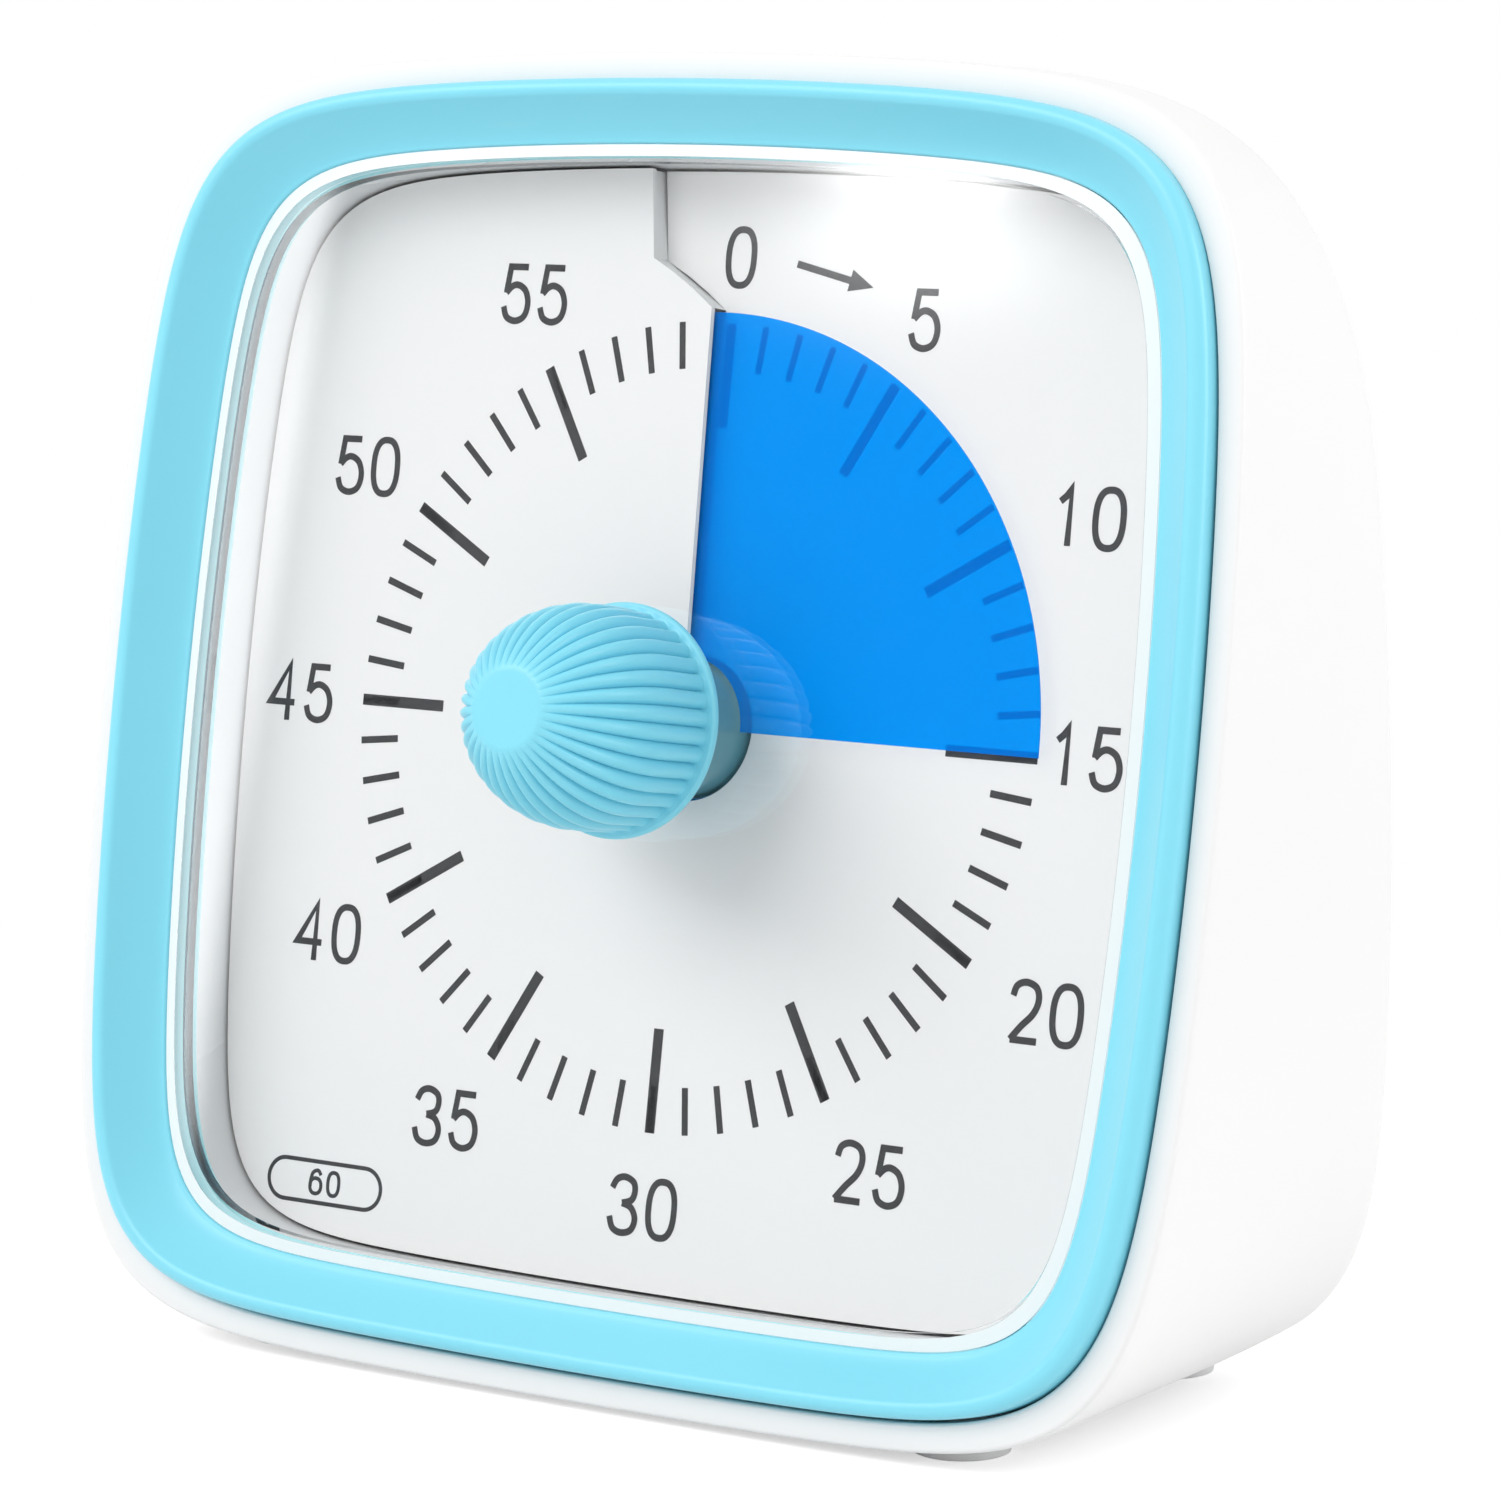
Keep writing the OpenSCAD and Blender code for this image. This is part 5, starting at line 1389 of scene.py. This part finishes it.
class TIMER_OT_dial(TimerOperator, bpy.types.Operator):
    """Winds the spiral dial plate and prints its marks, numerals and arrow."""

    bl_idname = "timer.dial"
    bl_label = "Dial plate and prints"

    WALL_CLEAR = 0.35 * MM  # between the plate's edge and the recess wall
    STEP_THICK, STEP_CLEAR, STEP_OVER = 0.5 * MM, 0.5 * MM, 0.05 * MM

    def build(self, scene):
        front, dial = Front(scene), scene.timer_dial
        made = finishes(scene)
        bend, side = cut_radii(dial)
        clear = front.sizes.recess_inset + self.WALL_CLEAR
        plate = grow("plate", sheet_tree(made["dial_print"]), {
            "Steps": 361.0, "Rows": 21.0, "From": 0.0, "To": 1.0, "Pitch": dial.pitch,
            "Base": -dial.plate, "Thickness": dial.plate, "Inner radius": dial.neck_hole,
            "Bend radius": bend, "Wall side": side,
            "Cut inner": dial.cut_inner, "Cut outer": dial.cut_outer,
            "Wall width": front.window_w / 2 - clear, "Wall height": front.window_h / 2 - clear,
            "Wall squareness": front.sizes.window_square, "Side bow": front.bows[0],
            "Roof bow": front.bows[1], "Base bow": front.bows[2],
            "Wall drop": front.sizes.window_drop, "To wall": 1.0})
        self.close_step(plate, front, dial)
        bmesh.ops.recalc_face_normals(plate, faces=plate.faces)
        piece = mesh_object("dial_sheet", on_dial(plate))
        smooth(piece)
        finish(piece, "housing", "dial_print", made["dial_print"], "dial_plate")
        self.print_marks(dial, made["dial_ink"])
        self.print_numbers(dial, made["dial_ink"])

    def close_step(self, bm, front, dial):
        """The wall that closes the step at the cut, from the film's edge to the recess."""
        bend, side = cut_radii(dial)
        reach = (front.window_h / 2 - front.sizes.window_drop - front.sizes.recess_inset
                 - self.STEP_CLEAR) / math.cos(dial.cut_outer)
        low, high = -dial.plate, dial.pitch - dial.plate + self.STEP_OVER
        corners = ((0, low), (0, high), (self.STEP_THICK, high), (self.STEP_THICK, low))
        rings = []
        for radius, swing in ((bend, dial.cut_inner), (side, dial.cut_outer),
                              (reach, dial.cut_outer)):
            t = math.pi / 2 + swing
            rings.append([Vector((radius * math.cos(t) - back, radius * math.sin(t), z))
                          for back, z in corners])
        wall = loft(rings)
        spare = bpy.data.meshes.new("step")
        wall.to_mesh(spare)
        wall.free()
        bm.from_mesh(spare)
        bpy.data.meshes.remove(spare)

    def print_marks(self, dial, ink):
        """The sixty minute marks, with a longer one every five."""
        tree = marks_tree(ink)
        for name, skip, size, width in (
                ("five_minute_marks", 5.0, dial.major_length, dial.major_width),
                ("minute_marks", 1.0, dial.minor_length, dial.minor_width)):
            bm = grow(name, tree, {
                "Count": 60.0, "Skip": skip, "Outer radius": dial.scale, "Length": size,
                "Width": width, "Ink": dial.ink * 2, "Pitch": dial.pitch,
                "Cut": dial.cut_inner})
            finish(mesh_object(name, on_dial(bm)), "housing", "dial_print", ink)

    def print_numbers(self, dial, ink):
        """The numerals, the arrow past 0 and the badge with the full count."""
        surface = dial_surface(dial)
        bm = bmesh.new()
        for value, place in NUMBER_PLACES.items():
            draw_number(bm, str(value), Vector(place) * MM, dial.digit_height,
                        dial.digit_width, dial.digit_stroke, surface, dial.ink, DIGIT_GAP)
        arrow(bm, *ARROW, surface, dial.ink)
        badge(bm, dial, surface)
        bmesh.ops.recalc_face_normals(bm, faces=bm.faces)
        finish(mesh_object("dial_numbers", on_dial(bm)), "housing", "dial_print", ink)


class TIMER_OT_film(TimerOperator, bpy.types.Operator):
    """Winds the coloured film that comes out of the dial's cut."""

    bl_idname = "timer.film"
    bl_label = "Film"

    TURN = 0.98  # of a whole turn, so that the film's two ends don't meet
    HOLE = 7.3 * MM

    def build(self, scene):
        dial = scene.timer_dial
        made = finishes(scene)
        shown = dial.rest_minutes / 60 + dial.cut_inner / (2 * math.pi)
        outer = dial.scale + dial.film_over
        bm = grow("film", sheet_tree(made["blue_film"]), {
            "Steps": 354.0, "Rows": 7.0, "From": shown - self.TURN, "To": shown,
            "Pitch": dial.pitch, "Base": dial.film_gap, "Thickness": dial.film,
            "Inner radius": self.HOLE, "Bend radius": outer, "Wall side": outer,
            "Cut inner": dial.cut_inner, "Cut outer": dial.cut_inner,
            "Wall width": outer, "Wall height": outer, "Wall squareness": 2.0,
            "Side bow": 0.0, "Roof bow": 0.0, "Base bow": 0.0, "Wall drop": 0.0,
            "To wall": 0.0})
        bmesh.ops.recalc_face_normals(bm, faces=bm.faces)
        piece = mesh_object("film_disc", on_dial(bm))
        smooth(piece)
        finish(piece, "film", "blue_film", made["blue_film"], "time_film")


class TIMER_OT_knob(TimerOperator, bpy.types.Operator):
    """Turns the knob and presses its grooves in."""

    bl_idname = "timer.knob"
    bl_label = "Knob"

    EDGE = 0.35 * MM  # rounding of the rim and of the bore's mouth
    FADE_POWER = 5  # how late the grooves run out over the dome
    RIB_POINTS = 12  # points round the knob for each rib

    def profile(self, k):
        """Radius, height and share of the groove's depth, from the bore to the face."""
        body, rim, edge = k.rim / 2 - k.rim_over, k.rim / 2, self.EDGE
        dome, top = k.back + k.tube, k.back + k.rim_thick
        dome_h = (k.front - dome) / math.sqrt(1 - (k.flat / body) ** 2)
        points = [(k.bore, k.bore_end, 0), (k.bore, k.back + edge, 0),
                  (k.bore + edge, k.back, 0), (rim - edge, k.back, 0)]
        points += [(rim - edge * out, k.back + edge * up, 0)
                   for out, up in rounding(30, 60, 90)]
        points += [(rim - edge * out, top - edge * up, 0)
                   for up, out in rounding(0, 30, 60, 90)]
        # A narrow fillet leads from the rim to the grooves
        points += [(body + 0.1 * MM, top, 0.0), (body - 0.12 * MM, top + 0.1 * MM, 0.5)]
        points += [(body - 0.1 * MM * (1 - f), mix(top + 0.4 * MM, dome, f), 1)
                   for f in (i / 8 for i in range(9))]
        steps = 40
        last = math.acos(k.flat / body)
        for i in range(1, steps + 1):
            t = last * i / steps
            points.append((body * math.cos(t), dome + dome_h * math.sin(t),
                           1 - (i / steps) ** self.FADE_POWER))
        points.append((k.flat - 0.5 * MM, k.front, 0))
        return points

    def build(self, scene):
        k = scene.timer_knob
        around = k.ribs * self.RIB_POINTS
        profile = self.profile(k)
        smooth_knob = mesh_object("smooth_knob", loft([
            circle(radius, min(z, k.front), around) for radius, z, _ in profile]))
        mesh = smooth_knob.data
        groove = mesh.attributes.new("groove", "FLOAT", "POINT")
        groove.data.foreach_set("value", [p[2] for p in profile for _ in range(around)])
        bpy.data.objects.remove(smooth_knob)
        made = finishes(scene)
        bm = grow("knob", ribs_tree(made["blue_abs"]),
                  {"Ribs": float(k.ribs), "Depth": k.rib_depth}, mesh)
        piece = mesh_object("ribbed_knob", on_dial(bm))
        smooth(piece, 50)
        finish(piece, "dial_drive", "blue_abs", made["blue_abs"], "knob")


class TIMER_OT_works(TimerOperator, bpy.types.Operator):
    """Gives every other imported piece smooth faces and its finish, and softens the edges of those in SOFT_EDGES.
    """

    bl_idname = "timer.works"
    bl_label = "Works, door, slider and feet"

    FLAT = math.radians(0.5)  # faces that meet at less than this become one
    # Pieces whose edges are rounded, with the rounding's size in millimetres
    SOFT_EDGES = {"battery_door": 0.25, "volume_slider": 0.15, "rubber_feet": 0.2,
                  "knob_stem": 0.3, "movement_case": 0.2, "movement_cover": 0.2,
                  "circuit_board": 0.08, "board_parts": 0.15, "switch_body": 0.15,
                  "speaker": 0.2, "battery_cell": 0.3}

    def build(self, scene):
        made = finishes(scene)
        for node, source in frame["nodes"].items():
            if source.hide_render:
                continue
            bm = merged_copy(node)
            bmesh.ops.dissolve_limit(bm, angle_limit=self.FLAT, verts=bm.verts,
                                     edges=bm.edges)
            piece = mesh_object(node + "_finished", bm)
            if node in self.SOFT_EDGES:
                soften(piece, self.SOFT_EDGES[node] * MM)
            smooth(piece)
            slot = slot_of_node(node)
            finish(piece, body_of_node(node), slot, made[slot], node)


def seen_directly(s):
    """Mask: 1 where the eye sees a thing itself, mirrored or through the lens."""
    path = s.node("ShaderNodeLightPath").outputs
    mirrored = s.math("MAXIMUM", path["Is Glossy Ray"], path["Is Transmission Ray"])
    bounced = s.math("LESS_THAN", path["Diffuse Depth"], 0.5)
    return s.math("MAXIMUM", mirrored * bounced, path["Is Camera Ray"])


class TIMER_OT_studio(TimerOperator, bpy.types.Operator):
    """Sets the floor, the even room light, the lamps and the camera."""

    bl_idname = "timer.studio"
    bl_label = "Studio"

    FLOOR_HALF, FLOOR_TONE, FLOOR_GLOW = 4.0, (0.8, 0.8, 0.8), 0.5
    FADE = (0.09, 0.3)  # metres from the middle where the floor turns pure white

    # What the lens mirrors, painted reflections that only mirrored rays see: directions in degrees
    # round and up, in pairs that run from none to all of the screen, the panel beyond its leaning
    # left edge, or both
    SCREEN_LEFT, SCREEN_RIGHT, SCREEN_LEAN = (-39.55, -39.1), (-22.0, -26.0), 0.048
    PANEL_LEFT = (-45.0, -43.0)
    LOWEST, HIGHEST = (1.0, 2.4), (22.0, 18.0)
    SCREEN_LIGHT, PANEL_LIGHT = 0.02, 4.0
    # Painted glints in the lens, soft bright spots that only mirrored rays see: round, up, width, height and
    # strength
    GLOWS = ((-34.0, 14.35, 0.8, 0.35, 18.0), (-33.9, 13.9, 1.4, 0.9, 6.0))
    GLOW_BASE = 2.718

    # Lamps: name, place and size in metres, both aimed at the timer's middle
    LAMPS = (("Key", (-0.79, -1.36, 1.30), (2.0, 1.0)),
             ("Side", (1.83, 0.5, 0.78), (1.2, 1.2)))
    LAMP_AIM = (0, 0, 0.07)

    def floor(self):
        """A pale floor near the timer that turns pure white to the eye further out."""
        bm = bmesh.new()
        half = self.FLOOR_HALF
        corners = ((-half, -half), (half, -half), (half, half), (-half, half))
        bm.faces.new([bm.verts.new((x, y, 0)) for x, y in corners])
        floor = mesh_object("studio_floor", bm)
        material, s, surface = plain_material("Pale floor", self.FLOOR_TONE)
        cloth = s.node("ShaderNodeBsdfPrincipled", {"Base Color": (*self.FLOOR_TONE, 1),
                                                    "Roughness": 0.9})
        seen = seen_directly(s)
        glow = s.node("ShaderNodeEmission", {"Color": WHITE,
                                             "Strength": seen * self.FLOOR_GLOW})
        near = s.node("ShaderNodeAddShader", {0: cloth, 1: glow})
        far = s.node("ShaderNodeEmission", {"Color": WHITE, "Strength": 1.0})
        where = s.node("ShaderNodeTexCoord").outputs["Object"]
        distance = s.node("ShaderNodeVectorMath", {0: where}, operation="LENGTH")
        away = s.ramp(distance.outputs["Value"], *self.FADE)
        s.put(s.node("ShaderNodeMixShader", {0: away * seen, 1: near, 2: far}), surface)
        floor.data.materials.append(material)

    def room(self, scene, studio):
        """Even light all round, white to the eye, with painted reflections that only mirrored rays see: a dark
        screen opposite the lens, a bright panel and two glints.
        """
        world = bpy.data.worlds.new("Room")
        scene.world = world
        world.use_nodes = True
        world.node_tree.nodes.clear()
        s = Nodes(world.node_tree)
        x, y, z = s.split(s.node("ShaderNodeTexCoord").outputs["Generated"])
        azimuth = s.math("ARCTAN2", x, y * -1.0)
        elevation = s.math("ARCSINE", z)

        def ramp(value, low, high):
            return s.ramp(value, math.radians(low), math.radians(high),
                          interpolation_type="SMOOTHSTEP")

        def spot(az, el, wide, tall, strength):
            across = (azimuth - math.radians(az)) * (1 / math.radians(wide))
            up = (elevation - math.radians(el)) * (1 / math.radians(tall))
            squares = across * across + up * up
            return s.math("POWER", self.GLOW_BASE, squares * -1.0) * strength

        leaning = azimuth + elevation * self.SCREEN_LEAN
        tall = ramp(elevation, *self.LOWEST) * ramp(elevation, *self.HIGHEST)
        screen = ramp(leaning, *self.SCREEN_LEFT) * ramp(azimuth, *self.SCREEN_RIGHT) * tall
        panel = (ramp(leaning, *reversed(self.SCREEN_LEFT)) * ramp(leaning, *self.PANEL_LEFT)
                 * tall)
        first, second = (spot(*glow) for glow in self.GLOWS)
        # Painted reflections: what mirrored rays see in place of the even room light, a dark screen, a bright
        # panel and two glints
        mirrored = (s.ramp(screen, 0.0, 1.0, 1.0, self.SCREEN_LIGHT)
                    + panel * self.PANEL_LIGHT + (first + second))
        even = s.node("ShaderNodeMix", {"Factor": seen_directly(s), 2: studio.ambient,
                                        3: mirrored}, data_type="FLOAT")
        path = s.node("ShaderNodeLightPath").outputs
        light = s.node("ShaderNodeBackground", {
            "Color": WHITE, "Strength": s.math("MAXIMUM", even, path["Is Camera Ray"])})
        s.node("ShaderNodeOutputWorld", {"Surface": light})

    def softbox(self, name, place, size, power):
        """An area lamp that faces the timer."""
        lamp = bpy.data.lights.new(name, "AREA")
        lamp.shape = "RECTANGLE"
        lamp.size, lamp.size_y = size
        lamp.energy = power
        obj = bpy.data.objects.new(name, lamp)
        obj.location = place
        way = Vector(self.LAMP_AIM) - Vector(place)
        obj.rotation_euler = way.to_track_quat("-Z", "Y").to_euler()
        bpy.context.scene.collection.objects.link(obj)

    def camera(self, scene, studio):
        """The camera, aimed a little beside the dial's middle."""
        data = bpy.data.cameras.new("Camera")
        data.lens = studio.focal
        data.sensor_width = 36
        data.clip_end = 20
        camera = bpy.data.objects.new("Camera", data)
        az, el = studio.azimuth, studio.elevation
        way = Vector((-math.sin(az) * math.cos(el), math.cos(az) * math.cos(el), -math.sin(el)))
        right = Vector((math.cos(az), math.sin(az), 0))
        up = right.cross(way)
        camera.location = (DIAL_CENTRE - way * studio.distance + right * studio.aim_right
                           + up * studio.aim_up)
        camera.rotation_euler = Matrix((right, up, -way)).transposed().to_euler()
        scene.collection.objects.link(camera)
        scene.camera = camera

    def build(self, scene):
        studio = scene.timer_studio
        self.floor()
        self.room(scene, studio)
        for lamp, power in zip(self.LAMPS, (studio.key, studio.side)):
            self.softbox(*lamp, power)
        self.camera(scene, studio)
        scene.view_settings.view_transform = "Standard"


class TIMER_PT_panel(bpy.types.Panel):
    """Lists the timer's operators."""

    bl_idname = "TIMER_PT_panel"
    bl_label = "Countdown Timer"
    bl_space_type = "VIEW_3D"
    bl_region_type = "UI"
    bl_category = "Timer"

    def draw(self, context):
        for operator in OPERATORS:
            self.layout.operator(operator.bl_idname)


OPERATORS = (TIMER_OT_housing, TIMER_OT_bezel, TIMER_OT_lens, TIMER_OT_recess, TIMER_OT_dial,
             TIMER_OT_film, TIMER_OT_knob, TIMER_OT_works, TIMER_OT_studio)


def register():
    for group in GROUPS.values():
        bpy.utils.register_class(group)
    for name, group in GROUPS.items():
        setattr(bpy.types.Scene, name, bpy.props.PointerProperty(type=group))
    for operator in (*OPERATORS, TIMER_PT_panel):
        bpy.utils.register_class(operator)


def unregister():
    for operator in reversed((*OPERATORS, TIMER_PT_panel)):
        bpy.utils.unregister_class(operator)
    for name in GROUPS:
        delattr(bpy.types.Scene, name)
    for group in reversed(list(GROUPS.values())):
        bpy.utils.unregister_class(group)


def main():
    register()
    for operator in OPERATORS:
        category, name = operator.bl_idname.split(".")
        getattr(getattr(bpy.ops, category), name)()


if __name__ == "__main__":
    main()
